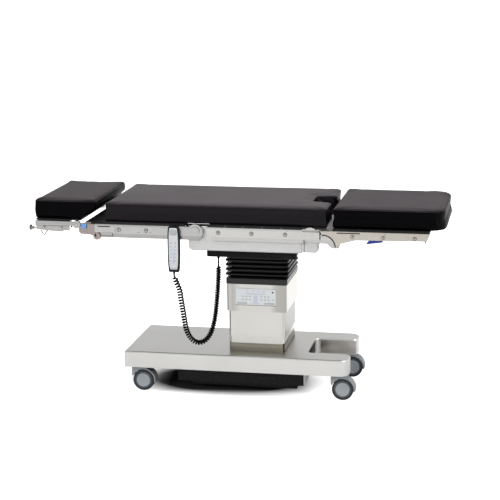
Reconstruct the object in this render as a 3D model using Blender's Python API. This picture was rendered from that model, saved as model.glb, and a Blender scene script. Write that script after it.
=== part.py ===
"""Operating table on a telescoping column, at rest with a level tabletop.

Lengths are in metres and +Z is up. X runs along the table with the head end at -X, and the control panel
side is -Y. Places along X are measured from the column axis until settle() shifts every piece by COLUMN_X.
"""

import math

import bmesh
import bpy
from mathutils import Matrix, Vector

# Shared
COLUMN_X = 0.085
TOUCH_GAP = 0.0003
RUN_GAP = 0.0015
SMOOTH_ANGLE = 35.0
ROUND_STEPS = 20
HINGE_STEPS = 32
SCREW_STEPS = 10
CORNER_STEPS = 4
TUBE_CORNER_STEPS = 2

# Base
BASE_LEFT_X = -0.6165
BASE_RIGHT_X = 0.438
BASE_HALF_WIDTH = 0.2456
BASE_BOTTOM_Z = 0.121
BASE_TOP_Z = 0.197
BASE_CORNER_RADIUS = 0.045
BASE_INNER_CORNER_RADIUS = 0.030
BASE_HEAD_CORNER_RADIUS = 0.008
BASE_EDGE_RADIUS = 0.006
COVER_WALL = 0.004
BAY_DEPTH = 0.203
BAY_LEFT_X = BASE_RIGHT_X - BAY_DEPTH
BASE_ARM_WIDTH = 0.1176
BAY_HALF_WIDTH = BASE_HALF_WIDTH - BASE_ARM_WIDTH
BAY_CORNER_RADIUS = 0.022
UNDERBODY_LEFT_INSET = 0.2385
UNDERBODY_LEFT_X = BASE_LEFT_X + UNDERBODY_LEFT_INSET
UNDERBODY_RIGHT_INSET = 0.218
UNDERBODY_RIGHT_X = BASE_RIGHT_X - UNDERBODY_RIGHT_INSET
UNDERBODY_HALF_WIDTH = 0.165
UNDERBODY_BOTTOM_Z = 0.020
UNDERBODY_STEP_Z = 0.0435
UNDERBODY_STEP_X = 0.035
UNDERBODY_SUMP_HALF_WIDTH = 0.145
END_PLATE_THICKNESS = 0.003

# Casters
WHEEL_HEAD_INSET = 0.0825
WHEEL_HEAD_X = BASE_LEFT_X + WHEEL_HEAD_INSET
WHEEL_FOOT_INSET = 0.029
WHEEL_FOOT_X = BASE_RIGHT_X - WHEEL_FOOT_INSET
CASTER_INSET = 0.0586
CASTER_Y = BASE_HALF_WIDTH - CASTER_INSET
CASTER_TRAIL = 0.017
WHEEL_RADIUS = 0.050
WHEEL_HALF_WIDTH = 0.028
TREAD_CHAMFER = 0.004
TREAD_INNER_OFFSET = 0.009
CAP_RADIUS = 0.033
CAP_RECESS = 0.0205
CAP_EDGE = 0.003
CAP_PROUD = 0.001
AXLE_RADIUS = 0.011
SLEEVE_RADIUS = 0.017
HOOD_CLEARANCE = 0.0025
HOOD_WALL = 0.0055
HOOD_HALF_WIDTH = 0.0275
HOOD_BACK_X = 0.055
HOOD_BACK_Z = 0.072
HOOD_FRONT_X = 0.014
HOOD_START_ANGLE = -10.0
HOOD_SHOULDER_ANGLE = 72.0
HOOD_END_ANGLE = 158.0
HOOD_STEPS = 12
WEB_HALF_WIDTH = 0.0075
WEB_HALF_LENGTH = 0.024
STEM_RADIUS = 0.008
STEM_TOP_Z = 0.150

# Column
FOOT_HALF_X = 0.127
FOOT_HALF_Y = 0.1505
FOOT_FLANGE_Z = 0.205
FOOT_BAND_Z = 0.227
FOOT_BAND_INSET = 0.004
FOOT_FLANGE_PROUD = 0.002
FOOT_TOP_Z = 0.330
MIDDLE_HALF_X = 0.133
MIDDLE_HALF_Y = 0.154
MIDDLE_BOTTOM_Z = 0.268
MIDDLE_TOP_Z = 0.461
UPPER_HALF_X = 0.141
UPPER_HALF_Y = 0.162
UPPER_BOTTOM_Z = 0.391
UPPER_TOP_Z = 0.5195
SHROUD_WALL = 0.003
SHROUD_CORNER_RADIUS = 0.009
COLLAR_PROUD = 0.003
COLLAR_TOP_Z = 0.547
COLLAR_WALL = 0.010
COLLAR_ROOF = 0.006
COLLAR_PORT = 0.075
GUIDE_LOWER_HALF = 0.084
GUIDE_WALL = 0.006
GUIDE_SLACK = 0.0007
GUIDE_MIDDLE_HALF = GUIDE_LOWER_HALF - GUIDE_WALL - GUIDE_SLACK
GUIDE_UPPER_HALF = GUIDE_MIDDLE_HALF - GUIDE_WALL - GUIDE_SLACK
GUIDE_CORNER_RADIUS = 0.008
GUIDE_LOWER_TOP_Z = 0.328
GUIDE_MIDDLE_BOTTOM_Z = 0.262
GUIDE_MIDDLE_TOP_Z = 0.446
GUIDE_UPPER_BOTTOM_Z = 0.345
SPIDER_THICKNESS = 0.006
PANEL_LEFT_X = -0.0975
PANEL_RIGHT_X = 0.0914
PANEL_BOTTOM_Z = 0.422
PANEL_TOP_Z = 0.500
PANEL_DEPTH = 0.004
PANEL_EDGE = 0.0012
PANEL_CORNER_RADIUS = 0.003

# Tilt joint
TILT_Z = 0.600
YOKE_INNER_Y = 0.044
YOKE_OUTER_Y = 0.056
YOKE_ROUND = 0.016
YOKE_FOOT = 0.030
CROSS_SHAFT_RADIUS = 0.009
CROSS_HALF_HEIGHT = 0.015
HEAD_LUG_INNER_X = 0.036
HEAD_LUG_OUTER_X = 0.050
HEAD_PLATE_HALF_X = 0.110
HEAD_PLATE_HALF_Y = 0.115

# Bellows
BELLOWS_HALF_X = 0.149
BELLOWS_HALF_Y = 0.160
BELLOWS_FOLD_DEPTH = 0.028
BELLOWS_WALL = 0.0025
BELLOWS_CORNER_RADIUS = 0.020
BELLOWS_FOLDS = 4
BELLOWS_FIRST_FOLD_Z = 0.5682
BELLOWS_FOLD_PITCH = 0.02177
BELLOWS_FOLD_FLAT = 0.0016
BELLOWS_FLANGE = 0.005

# Carriage under the seat
CARRIAGE_LEFT_X = -0.232
CARRIAGE_RIGHT_X = 0.134
APRON_RIGHT_X = 0.190
APRON_DEPTH = 0.020
APRON_LAP = 0.020
CARRIAGE_HALF_WIDTH = 0.172
CARRIAGE_TOP_Z = 0.699
TABLE_RISE = 0.109
TABLE_Z = CARRIAGE_TOP_Z + TABLE_RISE
CARRIAGE_DEPTH = 0.052
CARRIAGE_BOTTOM_Z = CARRIAGE_TOP_Z - CARRIAGE_DEPTH
HEAD_PLATE_THICKNESS = 0.0107
HEAD_PLATE_BOTTOM_Z = CARRIAGE_BOTTOM_Z - TOUCH_GAP - HEAD_PLATE_THICKNESS
CARRIAGE_CORNER_RADIUS = 0.012
TRAY_INSET = 0.002
TRAY_TOP_DROP = 0.063
TRAY_TOP_Z = TABLE_Z - TRAY_TOP_DROP
GLAND_X = -0.178
GLAND_Y = -0.158
GLAND_RADIUS = 0.006
GLAND_LENGTH = 0.008

# Side housings and end blocks
HOUSING_LEFT_X = -0.293
HOUSING_RIGHT_X = 0.228
HOUSING_BOTTOM_DROP = 0.112
HOUSING_BOTTOM_Z = TABLE_Z - HOUSING_BOTTOM_DROP
HOUSING_OUTER_Y = 0.2707
HOUSING_INNER_Y = 0.235
HOUSING_CORNER_RADIUS = 0.020
HOUSING_EDGE = 0.004
END_BLOCK_RIGHT_X = 0.303
END_BLOCK_BOTTOM_DROP = 0.107
END_BLOCK_BOTTOM_Z = TABLE_Z - END_BLOCK_BOTTOM_DROP
END_BLOCK_CORNER_RADIUS = 0.016

# Side rails
RAIL_TOP_Z = TABLE_Z
RAIL_BOTTOM_DROP = 0.060
RAIL_BOTTOM_Z = TABLE_Z - RAIL_BOTTOM_DROP
RAIL_FACE_LOW_DROP = 0.042
RAIL_FACE_LOW_Z = TABLE_Z - RAIL_FACE_LOW_DROP
RAIL_FACE_HIGH_DROP = 0.007
RAIL_FACE_HIGH_Z = TABLE_Z - RAIL_FACE_HIGH_DROP
RAIL_OUTER_Y = 0.298
RAIL_MID_Y = 0.284
RAIL_INNER_Y = 0.271
RAIL_BAND_DEPTH = 0.006
RAIL_CHAMFER = 0.007
SCREW_RADIUS = 0.010
SCREW_RECESS = 0.0025
SCREW_DROP = 0.022
SCREW_Z = TABLE_Z - SCREW_DROP
SEAT_RAIL_LEFT_X = -0.206
SEAT_RAIL_LEAN = 0.025
SEAT_RAIL_STEP_X = 0.228
SEAT_RAIL_BAND_END_X = 0.239
SEAT_RAIL_RIGHT_X = 0.3115
SEAT_SCREWS_X = (-0.149, 0.004, 0.157)
BACK_RAIL_LEFT_X = -0.727
BACK_RAIL_INNER_X = -0.690
BACK_SCREWS_X = (-0.612, -0.484)
COUPLING_RIGHT_X = -0.628
COUPLING_DROP = 0.003
SLOT_LEFT_X = -0.712
SLOT_RIGHT_X = -0.654
SLOT_HEIGHT = 0.004
SLOT_DEPTH = 0.003

# Hinges of the sections
BACK_HINGE_X = -0.257
LEG_HINGE_X = 0.268
LEG_HINGE_DROP = 0.024
LEG_HINGE_Z = TABLE_Z - LEG_HINGE_DROP
LEG_HINGE_RADIUS = 0.035
LEG_SWEEP_RADIUS = 0.053
HINGE_DROP = 0.024
HINGE_Z = TABLE_Z - HINGE_DROP
HINGE_RADIUS = 0.036
HEAD_HINGE_X = -0.813
HEAD_HINGE_DROP = 0.004
HEAD_HINGE_Z = TABLE_Z - HEAD_HINGE_DROP
HEAD_ARM_RADIUS = 0.018

# Leg section
LEG_BRACKET_LEFT_X = 0.312
LEG_BRACKET_BOTTOM_DROP = 0.0575
LEG_BRACKET_BOTTOM_Z = TABLE_Z - LEG_BRACKET_BOTTOM_DROP
KNUCKLE_X = 0.3265
KNUCKLE_DROP = 0.0755
KNUCKLE_Z = TABLE_Z - KNUCKLE_DROP
KNUCKLE_RADIUS = 0.0565
KNUCKLE_STEPS = 8
KNUCKLE_EDGE = 0.001
LEG_RAIL_RIGHT_X = 0.800
LEG_RAIL_TOP_DROP = 0.0005
LEG_RAIL_TOP_Z = TABLE_Z - LEG_RAIL_TOP_DROP
LEG_RAIL_LEFT_DROP = 0.0385
LEG_RAIL_LEFT_Z = TABLE_Z - LEG_RAIL_LEFT_DROP
LEG_RAIL_RIGHT_DROP = 0.034
LEG_RAIL_RIGHT_Z = TABLE_Z - LEG_RAIL_RIGHT_DROP
LEG_RAIL_SLANT = 0.012
LEG_LUG_HEEL_X = 0.345
LEG_LUG_LEFT_X = 0.367
LEG_LUG_RIGHT_X = 0.399
LEG_LUG_TOE_X = 0.408
LEG_LUG_DROP = 0.0777
LEG_LUG_Z = TABLE_Z - LEG_LUG_DROP
LEG_LUG_TOE_DROP = 0.056
LEG_LUG_TOE_Z = TABLE_Z - LEG_LUG_TOE_DROP
LEG_LUG_CORNER_RADIUS = 0.005
LEG_RAIL_NECK_X = 0.472
LEG_SLOT_LEFT_X = 0.389
LEG_SLOT_RIGHT_X = 0.492
LEG_SLOT_DROP = 0.006
LEG_SLOT_Z = TABLE_Z - LEG_SLOT_DROP
LEG_SCREWS_X = (0.460, 0.596, 0.735)
LEG_SCREW_RADIUS = 0.006
LEVER_TIP_X = 0.5205
LEVER_LEFT_X = 0.5325
LEVER_RIGHT_X = 0.595
LEVER_BOTTOM_DROP = 0.0525
LEVER_BOTTOM_Z = TABLE_Z - LEVER_BOTTOM_DROP
LEVER_HEEL_DROP = 0.044
LEVER_HEEL_Z = TABLE_Z - LEVER_HEEL_DROP
LEVER_TOP_DROP = 0.0382
LEVER_TOP_Z = TABLE_Z - LEVER_TOP_DROP
LEVER_OUTER_Y = 0.300
LEVER_INNER_Y = 0.274
LEVER_TAPER = 0.002

# Head section
HEAD_RAIL_LEFT_X = -1.010
HEAD_RAIL_RIGHT_X = -0.847
HEAD_RAIL_BOTTOM_DROP = 0.013
HEAD_RAIL_BOTTOM_Z = TABLE_Z - HEAD_RAIL_BOTTOM_DROP
HEAD_RAIL_TOP_RISE = 0.009
HEAD_RAIL_TOP_Z = TABLE_Z + HEAD_RAIL_TOP_RISE
HEAD_LEDGE_LEFT_X = -1.000
HEAD_LEDGE_INNER_Y = 0.250
HEAD_LEDGE_BOTTOM_DROP = 0.011
HEAD_LEDGE_BOTTOM_Z = TABLE_Z - HEAD_LEDGE_BOTTOM_DROP
CLAMP_LEFT_X = -1.006
CLAMP_LEFT_DROP = 0.0315
CLAMP_LEFT_Z = TABLE_Z - CLAMP_LEFT_DROP
CLAMP_BEND_X = -0.937
CLAMP_BEND_DROP = 0.0378
CLAMP_BEND_Z = TABLE_Z - CLAMP_BEND_DROP
CLAMP_LOW_X = -0.880
CLAMP_BOTTOM_DROP = 0.040
CLAMP_BOTTOM_Z = TABLE_Z - CLAMP_BOTTOM_DROP
CLAMP_STEP_X = -0.875
CLAMP_STEP_DROP = 0.0342
CLAMP_STEP_Z = TABLE_Z - CLAMP_STEP_DROP
CLAMP_RIGHT_X = -0.848
CLAMP_RIGHT_DROP = 0.0325
CLAMP_RIGHT_Z = TABLE_Z - CLAMP_RIGHT_DROP
CLAMP_BOLTS_X = (-0.970, -0.887)
CLAMP_BOLT_DROP = 0.023
CLAMP_BOLT_Z = TABLE_Z - CLAMP_BOLT_DROP
CLAMP_BOLT_RADIUS = 0.007
CLAMP_BOLT_PROUD = 0.0045
CLAMP_INSET = 0.003
ARM_INSET = 0.001
HEAD_LAP = 0.0025
HEAD_KNOB_LEFT_X = -1.034
HEAD_KNOB_RADIUS = 0.008
HEAD_KNOB_DROP = 0.025
HEAD_KNOB_Z = TABLE_Z - HEAD_KNOB_DROP
HEAD_KNOB_LENGTH = 0.016
KNOB_STEM_RADIUS = 0.0033
BAIL_X = -0.968
BAIL_Y = -0.298
BAIL_HALF_LENGTH = 0.016
BAIL_TOP_DROP = 0.034
BAIL_TOP_Z = TABLE_Z - BAIL_TOP_DROP
BAIL_BOTTOM_DROP = 0.058
BAIL_BOTTOM_Z = TABLE_Z - BAIL_BOTTOM_DROP
BAIL_WIRE_RADIUS = 0.0022
BAIL_SIDES = 8
BRACKET_LEFT_X = -0.806
BRACKET_TOP_RISE = 0.006
BRACKET_TOP_Z = TABLE_Z + BRACKET_TOP_RISE
BRACKET_TOP_X = -0.760
BRACKET_STEP_X = -0.795
BRACKET_STEP_DROP = 0.040
BRACKET_STEP_Z = TABLE_Z - BRACKET_STEP_DROP
BRACKET_NECK_X = -0.757
BRACKET_LOW_DROP = 0.050
BRACKET_LOW_Z = TABLE_Z - BRACKET_LOW_DROP
BRACKET_DIP_X = -0.7455
NOTCH_RIGHT_X = -0.697
NOTCH_TOP_DROP = 0.0378
NOTCH_TOP_Z = TABLE_Z - NOTCH_TOP_DROP
BRACKET_LUG_X = -0.7193
BRACKET_LUG_DROP = 0.0567
BRACKET_LUG_Z = TABLE_Z - BRACKET_LUG_DROP
BRACKET_LUG_RADIUS = 0.0185
BUTTON_LEFT_X = -0.7942
BUTTON_RIGHT_X = -0.768
BUTTON_BOTTOM_DROP = 0.023
BUTTON_BOTTOM_Z = TABLE_Z - BUTTON_BOTTOM_DROP
BUTTON_TOP_DROP = 0.002
BUTTON_TOP_Z = TABLE_Z - BUTTON_TOP_DROP
BUTTON_OUTER_Y = 0.293
BUTTON_INNER_Y = 0.2815
BUTTON_POCKET_Y = 0.276
BUTTON_CORNER_RADIUS = 0.004

# Panels under the pads
BOARD_HALF_WIDTH = 0.290
BOARD_CORNER_RADIUS = 0.012
SEAT_BOARD_TOP_RISE = 0.0095
SEAT_BOARD_TOP_Z = TABLE_Z + SEAT_BOARD_TOP_RISE
SEAT_BOARD_LEFT_X = -0.197
SEAT_BOARD_RIGHT_X = 0.340
SEAT_BOARD_STEP_X = 0.222
SEAT_BOARD_STEP_HALF_WIDTH = 0.267
BACK_BOARD_LEFT_X = -0.690
BACK_BOARD_RIGHT_X = -0.307
CROSS_BAR_LEFT_X = -0.777
CROSS_BAR_RIGHT_X = -0.6905
CROSS_BAR_BOTTOM_DROP = 0.014
CROSS_BAR_BOTTOM_Z = TABLE_Z - CROSS_BAR_BOTTOM_DROP
CROSS_BAR_TOP_RISE = 0.006
CROSS_BAR_TOP_Z = TABLE_Z + CROSS_BAR_TOP_RISE
CROSS_BAR_HALF_WIDTH = 0.2705
HEAD_BOARD_LEFT_X = -1.013
HEAD_BOARD_RIGHT_X = -0.802
HEAD_BOARD_STEP_X = -0.850
HEAD_BOARD_HALF_WIDTH = 0.282
HEAD_BOARD_STEP_HALF_WIDTH = 0.266
HEAD_BOARD_TOP_RISE = 0.0155
HEAD_BOARD_TOP_Z = TABLE_Z + HEAD_BOARD_TOP_RISE
LEG_BOARD_LEFT_X = 0.368
LEG_BOARD_RIGHT_X = 0.801
LEG_BOARD_TOP_RISE = 0.007
LEG_BOARD_TOP_Z = TABLE_Z + LEG_BOARD_TOP_RISE
LEG_BOARD_END_RADIUS = 0.012

# Pads
PAD_HALF_WIDTH = 0.270
PAD_THICKNESS = 0.0872
PAD_TOP_Z = SEAT_BOARD_TOP_Z + TOUCH_GAP + PAD_THICKNESS
PAD_CROWN = 0.004
PAD_EDGE_RADIUS = 0.011
PAD_SIDE_DRAW = 0.003
PAD_EDGE_SHARE = 0.3
BACK_PAD_LEFT_X = -0.689
FOLD_HALF_LENGTH = 0.095
SEAT_PAD_RIGHT_X = 0.342
CUTOUT_LEFT_X = 0.250
CUTOUT_HALF_WIDTH = 0.066
CUTOUT_MOUTH_HALF_WIDTH = 0.092
CUTOUT_CORNER_RADIUS = 0.018
CUTOUT_OVERRUN = 0.020
BOARD_CUTOUT_MARGIN = 0.006
LEG_PAD_LEFT_X = 0.364
LEG_PAD_RIGHT_X = 0.870
LEG_PAD_CORNER_RADIUS = 0.080
LEG_PAD_CORNER_STEPS = 6
HEAD_PAD_LEFT_X = -1.024
HEAD_PAD_RIGHT_X = -0.728
HEAD_PAD_LEFT_DRAW = 0.015
HEAD_PAD_UNDERCUT = 0.069
HEAD_PAD_SHOULDER_DROP = 0.055
HEAD_PAD_SHOULDER_Z = PAD_TOP_Z - HEAD_PAD_SHOULDER_DROP

# Handset and its cord
HANDSET_X = -0.352
HANDSET_TOP_HALF = 0.0278
HANDSET_FOOT_HALF = 0.0255
HANDSET_TAPER_DROP = 0.178
HANDSET_TAPER_Z = TABLE_Z - HANDSET_TAPER_DROP
HANDSET_BOTTOM_DROP = 0.207
HANDSET_BOTTOM_Z = TABLE_Z - HANDSET_BOTTOM_DROP
HANDSET_TOP_RISE = 0.004
HANDSET_TOP_Z = TABLE_Z + HANDSET_TOP_RISE
HANDSET_BACK_Y = 0.2995
HANDSET_FRONT_Y = 0.322
HANDSET_CORNER_RADIUS = 0.009
HANDSET_EDGE = 0.003
HOOK_INNER_Y = 0.2915
HOOK_TOP_RISE = 0.007
HOOK_TOP_Z = TABLE_Z + HOOK_TOP_RISE
HOOK_HALF_LENGTH = 0.018
HOOK_CLEARANCE = 0.0006
RELIEF_X = -0.3527
RELIEF_Y = -0.311
RELIEF_RADIUS = 0.006
RELIEF_TIP_RADIUS = 0.004
RELIEF_LENGTH = 0.012
RELIEF_OVERLAP = 0.002
CORD_WIRE_RADIUS = 0.0021
CORD_COIL_RADIUS = 0.0078
CORD_SIDES = 5
CURL_POINTS = 7
CORD_LEAD = 0.010
GLAND_LEAD = 0.034
CORD_RAMP = 0.014
LOOSE_PITCH = 0.0126
TIGHT_PITCH = 0.0098
TIGHTEN_FROM_SHARE = 0.28
TIGHTEN_TO_SHARE = 0.44
ROUTE_STEPS = 14
CORD_ROUTE = (
    (-0.3505, -0.3110, 0.577),
    (-0.3440, -0.3100, 0.555),
    (-0.3300, -0.3070, 0.518),
    (-0.3255, -0.3025, 0.479),
    (-0.3214, -0.2967, 0.440),
    (-0.3171, -0.2897, 0.400),
    (-0.3135, -0.2818, 0.360),
    (-0.3080, -0.2730, 0.320),
    (-0.2960, -0.2650, 0.288),
    (-0.2780, -0.2571, 0.265),
    (-0.2547, -0.2503, 0.256),
    (-0.2307, -0.2430, 0.263),
    (-0.2110, -0.2339, 0.284),
    (-0.1975, -0.2239, 0.316),
    (-0.1885, -0.2125, 0.356),
    (-0.1835, -0.2001, 0.404),
    (-0.1808, -0.1890, 0.4525),
    (-0.1785, -0.1797, 0.5014),
    (-0.1772, -0.1690, 0.551),
)

# Finishes: colour, metallic, roughness
FINISHES = {
    "satin_steel": ((0.62, 0.61, 0.59), 1.0, 0.38),
    "polished_steel": ((0.72, 0.71, 0.70), 1.0, 0.22),
    "white_metal": ((0.74, 0.74, 0.73), 0.0, 0.40),
    "black_metal": ((0.020, 0.019, 0.021), 0.0, 0.45),
    "black_vinyl": ((0.016, 0.014, 0.016), 0.0, 0.42),
    "black_board": ((0.018, 0.018, 0.019), 0.0, 0.55),
    "black_rubber": ((0.022, 0.022, 0.023), 0.0, 0.62),
    "grey_plastic": ((0.50, 0.52, 0.54), 0.0, 0.45),
    "grey_rubber": ((0.075, 0.082, 0.090), 0.0, 0.60),
    "blue_plastic": ((0.020, 0.070, 0.320), 0.0, 0.35),
    "light_plastic": ((0.62, 0.65, 0.67), 0.0, 0.38),
}


# Making solids
def clear_scene():
    """Remove everything that the scene starts with."""
    for item in list(bpy.data.objects):
        bpy.data.objects.remove(item, do_unlink=True)


def finish_of(name, kind):
    """A Principled material of the piece's own."""
    colour, metallic, roughness = FINISHES[kind]
    made = bpy.data.materials.new(name + "_" + kind)
    made.use_nodes = True
    shader = made.node_tree.nodes["Principled BSDF"]
    shader.inputs["Base Color"].default_value = (*colour, 1.0)
    shader.inputs["Metallic"].default_value = metallic
    shader.inputs["Roughness"].default_value = roughness
    return made


def add_piece(name, kind, form):
    """Turn a bmesh into a named object with outward faces."""
    bmesh.ops.recalc_face_normals(form, faces=form.faces)
    mesh = bpy.data.meshes.new(name)
    form.to_mesh(mesh)
    form.free()
    piece = bpy.data.objects.new(name, mesh)
    bpy.context.scene.collection.objects.link(piece)
    mesh.materials.append(finish_of(name, kind))
    return piece


def loft(name, kind, rings):
    """A closed body through rings of points, capped at both ends."""
    form = bmesh.new()
    rows = []
    for ring in rings:
        rows.append([form.verts.new(point) for point in ring])
    for low, high in zip(rows, rows[1:]):
        count = len(low)
        for i in range(count):
            j = (i + 1) % count
            form.faces.new((low[i], low[j], high[j], high[i]))
    form.faces.new(list(reversed(rows[0])))
    form.faces.new(rows[-1])
    return add_piece(name, kind, form)


def on_axis(axis, along, first, second):
    """A point from its place along an axis and its two places across it."""
    if axis == "X":
        return (along, first, second)
    if axis == "Y":
        return (first, along, second)
    return (first, second, along)


def prism(name, kind, outline, axis, low, high, edge=0.0):
    """An outline swept along an axis, with both end edges chamfered by edge."""
    start, end = min(low, high), max(low, high)
    levels = [(start, 0.0), (end, 0.0)]
    if edge > 0.0:
        levels = [(start, edge), (start + edge, 0.0), (end - edge, 0.0), (end, edge)]
    rings = []
    for along, inset in levels:
        ring = inset_outline(outline, inset)
        rings.append([on_axis(axis, along, u, v) for u, v in ring])
    return loft(name, kind, rings)


def side_plate(name, kind, outline, side, inner, outer, edge):
    """An outline swept outwards on one side of the table, its outer end's edge chamfered."""
    rings = []
    for distance, inset in ((inner, 0.0), (outer - edge, 0.0), (outer, edge)):
        rings.append([(u, side * distance, v) for u, v in inset_outline(outline, inset)])
    return loft(name, kind, rings)


def lathe(name, kind, profile, centre, axis, steps=ROUND_STEPS):
    """A closed profile of (radius, along) turned round an axis through centre. Ends at radius 0 are poles."""
    form = bmesh.new()
    poles = profile[0][0] == 0.0
    rows = []
    for radius, along in profile:
        places = 1 if radius == 0.0 else steps
        row = []
        for i in range(places):
            angle = 2.0 * math.pi * i / steps
            spot = on_axis(axis, along, radius * math.cos(angle), radius * math.sin(angle))
            row.append(form.verts.new(Vector(spot) + Vector(centre)))
        rows.append(row)
    pairs = list(zip(rows, rows[1:]))
    if not poles:
        pairs.append((rows[-1], rows[0]))
    for low, high in pairs:
        for i in range(steps):
            j = (i + 1) % steps
            if len(low) == 1:
                form.faces.new((low[0], high[j], high[i]))
            elif len(high) == 1:
                form.faces.new((low[i], low[j], high[0]))
            else:
                form.faces.new((low[i], low[j], high[j], high[i]))
    return add_piece(name, kind, form)


def disc(name, kind, radius, axis, low, high, centre, steps=ROUND_STEPS):
    """A plain round solid between two places along an axis."""
    start, end = min(low, high), max(low, high)
    profile = ((0.0, start), (radius, start), (radius, end), (0.0, end))
    return lathe(name, kind, profile, centre, axis, steps)


def tube(name, kind, path, radius, sides):
    """A round wire along a list of points, with flat ends."""
    points = [Vector(p) for p in path]
    rings = []
    forward = (points[1] - points[0]).normalized()
    across = forward.orthogonal().normalized()
    for i, point in enumerate(points):
        before = points[max(i - 1, 0)]
        after = points[min(i + 1, len(points) - 1)]
        forward = (after - before).normalized()
        across = (across - forward * across.dot(forward)).normalized()
        other = forward.cross(across)
        ring = []
        for k in range(sides):
            angle = 2.0 * math.pi * k / sides
            ring.append(point + radius * (math.cos(angle) * across + math.sin(angle) * other))
        rings.append(ring)
    return loft(name, kind, rings)


def combine(target, tool, operation):
    """Apply an exact Boolean and drop the tool."""
    change = target.modifiers.new(operation.title(), "BOOLEAN")
    change.operation = operation
    change.solver = "EXACT"
    change.object = tool
    bpy.context.view_layer.objects.active = target
    bpy.ops.object.modifier_apply(modifier=change.name)
    bpy.data.objects.remove(tool, do_unlink=True)
    return target


def cut(target, tool):
    """Take the tool's shape out of the target."""
    return combine(target, tool, "DIFFERENCE")


def join(target, tool):
    """Fuse the tool's shape into the target."""
    return combine(target, tool, "UNION")


# Outlines
def arc(centre_u, centre_v, radius, start, end, steps):
    """Points on an arc, with its angles in degrees."""
    made = []
    for i in range(steps + 1):
        angle = math.radians(start + (end - start) * i / steps)
        made.append((centre_u + radius * math.cos(angle), centre_v + radius * math.sin(angle)))
    return made


def rounded(corners, radii, steps=CORNER_STEPS):
    """An outline with each corner rounded by its own radius; 0 keeps it sharp."""
    made = []
    count = len(corners)
    for i, corner in enumerate(corners):
        here = Vector(corner)
        back = (Vector(corners[i - 1]) - here).normalized()
        ahead = (Vector(corners[(i + 1) % count]) - here).normalized()
        radius = radii[i]
        if radius == 0.0:
            made.append(tuple(here))
            continue
        half = back.angle(ahead) / 2.0
        reach = radius / math.tan(half)
        centre = here + (back + ahead).normalized() * radius / math.sin(half)
        start = here + back * reach - centre
        end = here + ahead * reach - centre
        for k in range(steps + 1):
            turned = start.slerp(end, k / steps).normalized()
            made.append(tuple(centre + turned * radius))
    return made


def rectangle(left, right, low, high, radius, steps=CORNER_STEPS):
    """A rectangle with four equal corners."""
    corners = ((left, low), (right, low), (right, high), (left, high))
    if radius == 0.0:
        return list(corners)
    return rounded(corners, (radius,) * len(corners), steps)


def area_of(outline):
    """Twice the signed area of an outline."""
    total = 0.0
    for (u0, v0), (u1, v1) in zip(outline, outline[1:] + outline[:1]):
        total += u0 * v1 - u1 * v0
    return total


def inset_outline(outline, inset):
    """Move every side of an outline inwards by inset."""
    if inset == 0.0:
        return list(outline)
    sign = 1.0 if area_of(list(outline)) > 0.0 else -1.0
    made = []
    count = len(outline)
    for i, corner in enumerate(outline):
        here = Vector(corner)
        back = (here - Vector(outline[i - 1])).normalized()
        ahead = (Vector(outline[(i + 1) % count]) - here).normalized()
        normal_back = Vector((-back.y, back.x)) * sign
        normal_ahead = Vector((-ahead.y, ahead.x)) * sign
        middle = (normal_back + normal_ahead).normalized()
        made.append(tuple(here + middle * inset / middle.dot(normal_back)))
    return made


# Base and underbody
def base_outline():
    """Plan of the base, with the bay open towards the foot end."""
    corners = (
        (BASE_LEFT_X, -BASE_HALF_WIDTH),
        (BASE_RIGHT_X, -BASE_HALF_WIDTH),
        (BASE_RIGHT_X, -BAY_HALF_WIDTH),
        (BAY_LEFT_X, -BAY_HALF_WIDTH),
        (BAY_LEFT_X, BAY_HALF_WIDTH),
        (BASE_RIGHT_X, BAY_HALF_WIDTH),
        (BASE_RIGHT_X, BASE_HALF_WIDTH),
        (BASE_LEFT_X, BASE_HALF_WIDTH),
    )
    outer = BASE_CORNER_RADIUS
    inner = BASE_INNER_CORNER_RADIUS
    bay = BAY_CORNER_RADIUS
    head = BASE_HEAD_CORNER_RADIUS
    return rounded(corners, (head, outer, inner, bay, bay, inner, outer, head))


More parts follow.
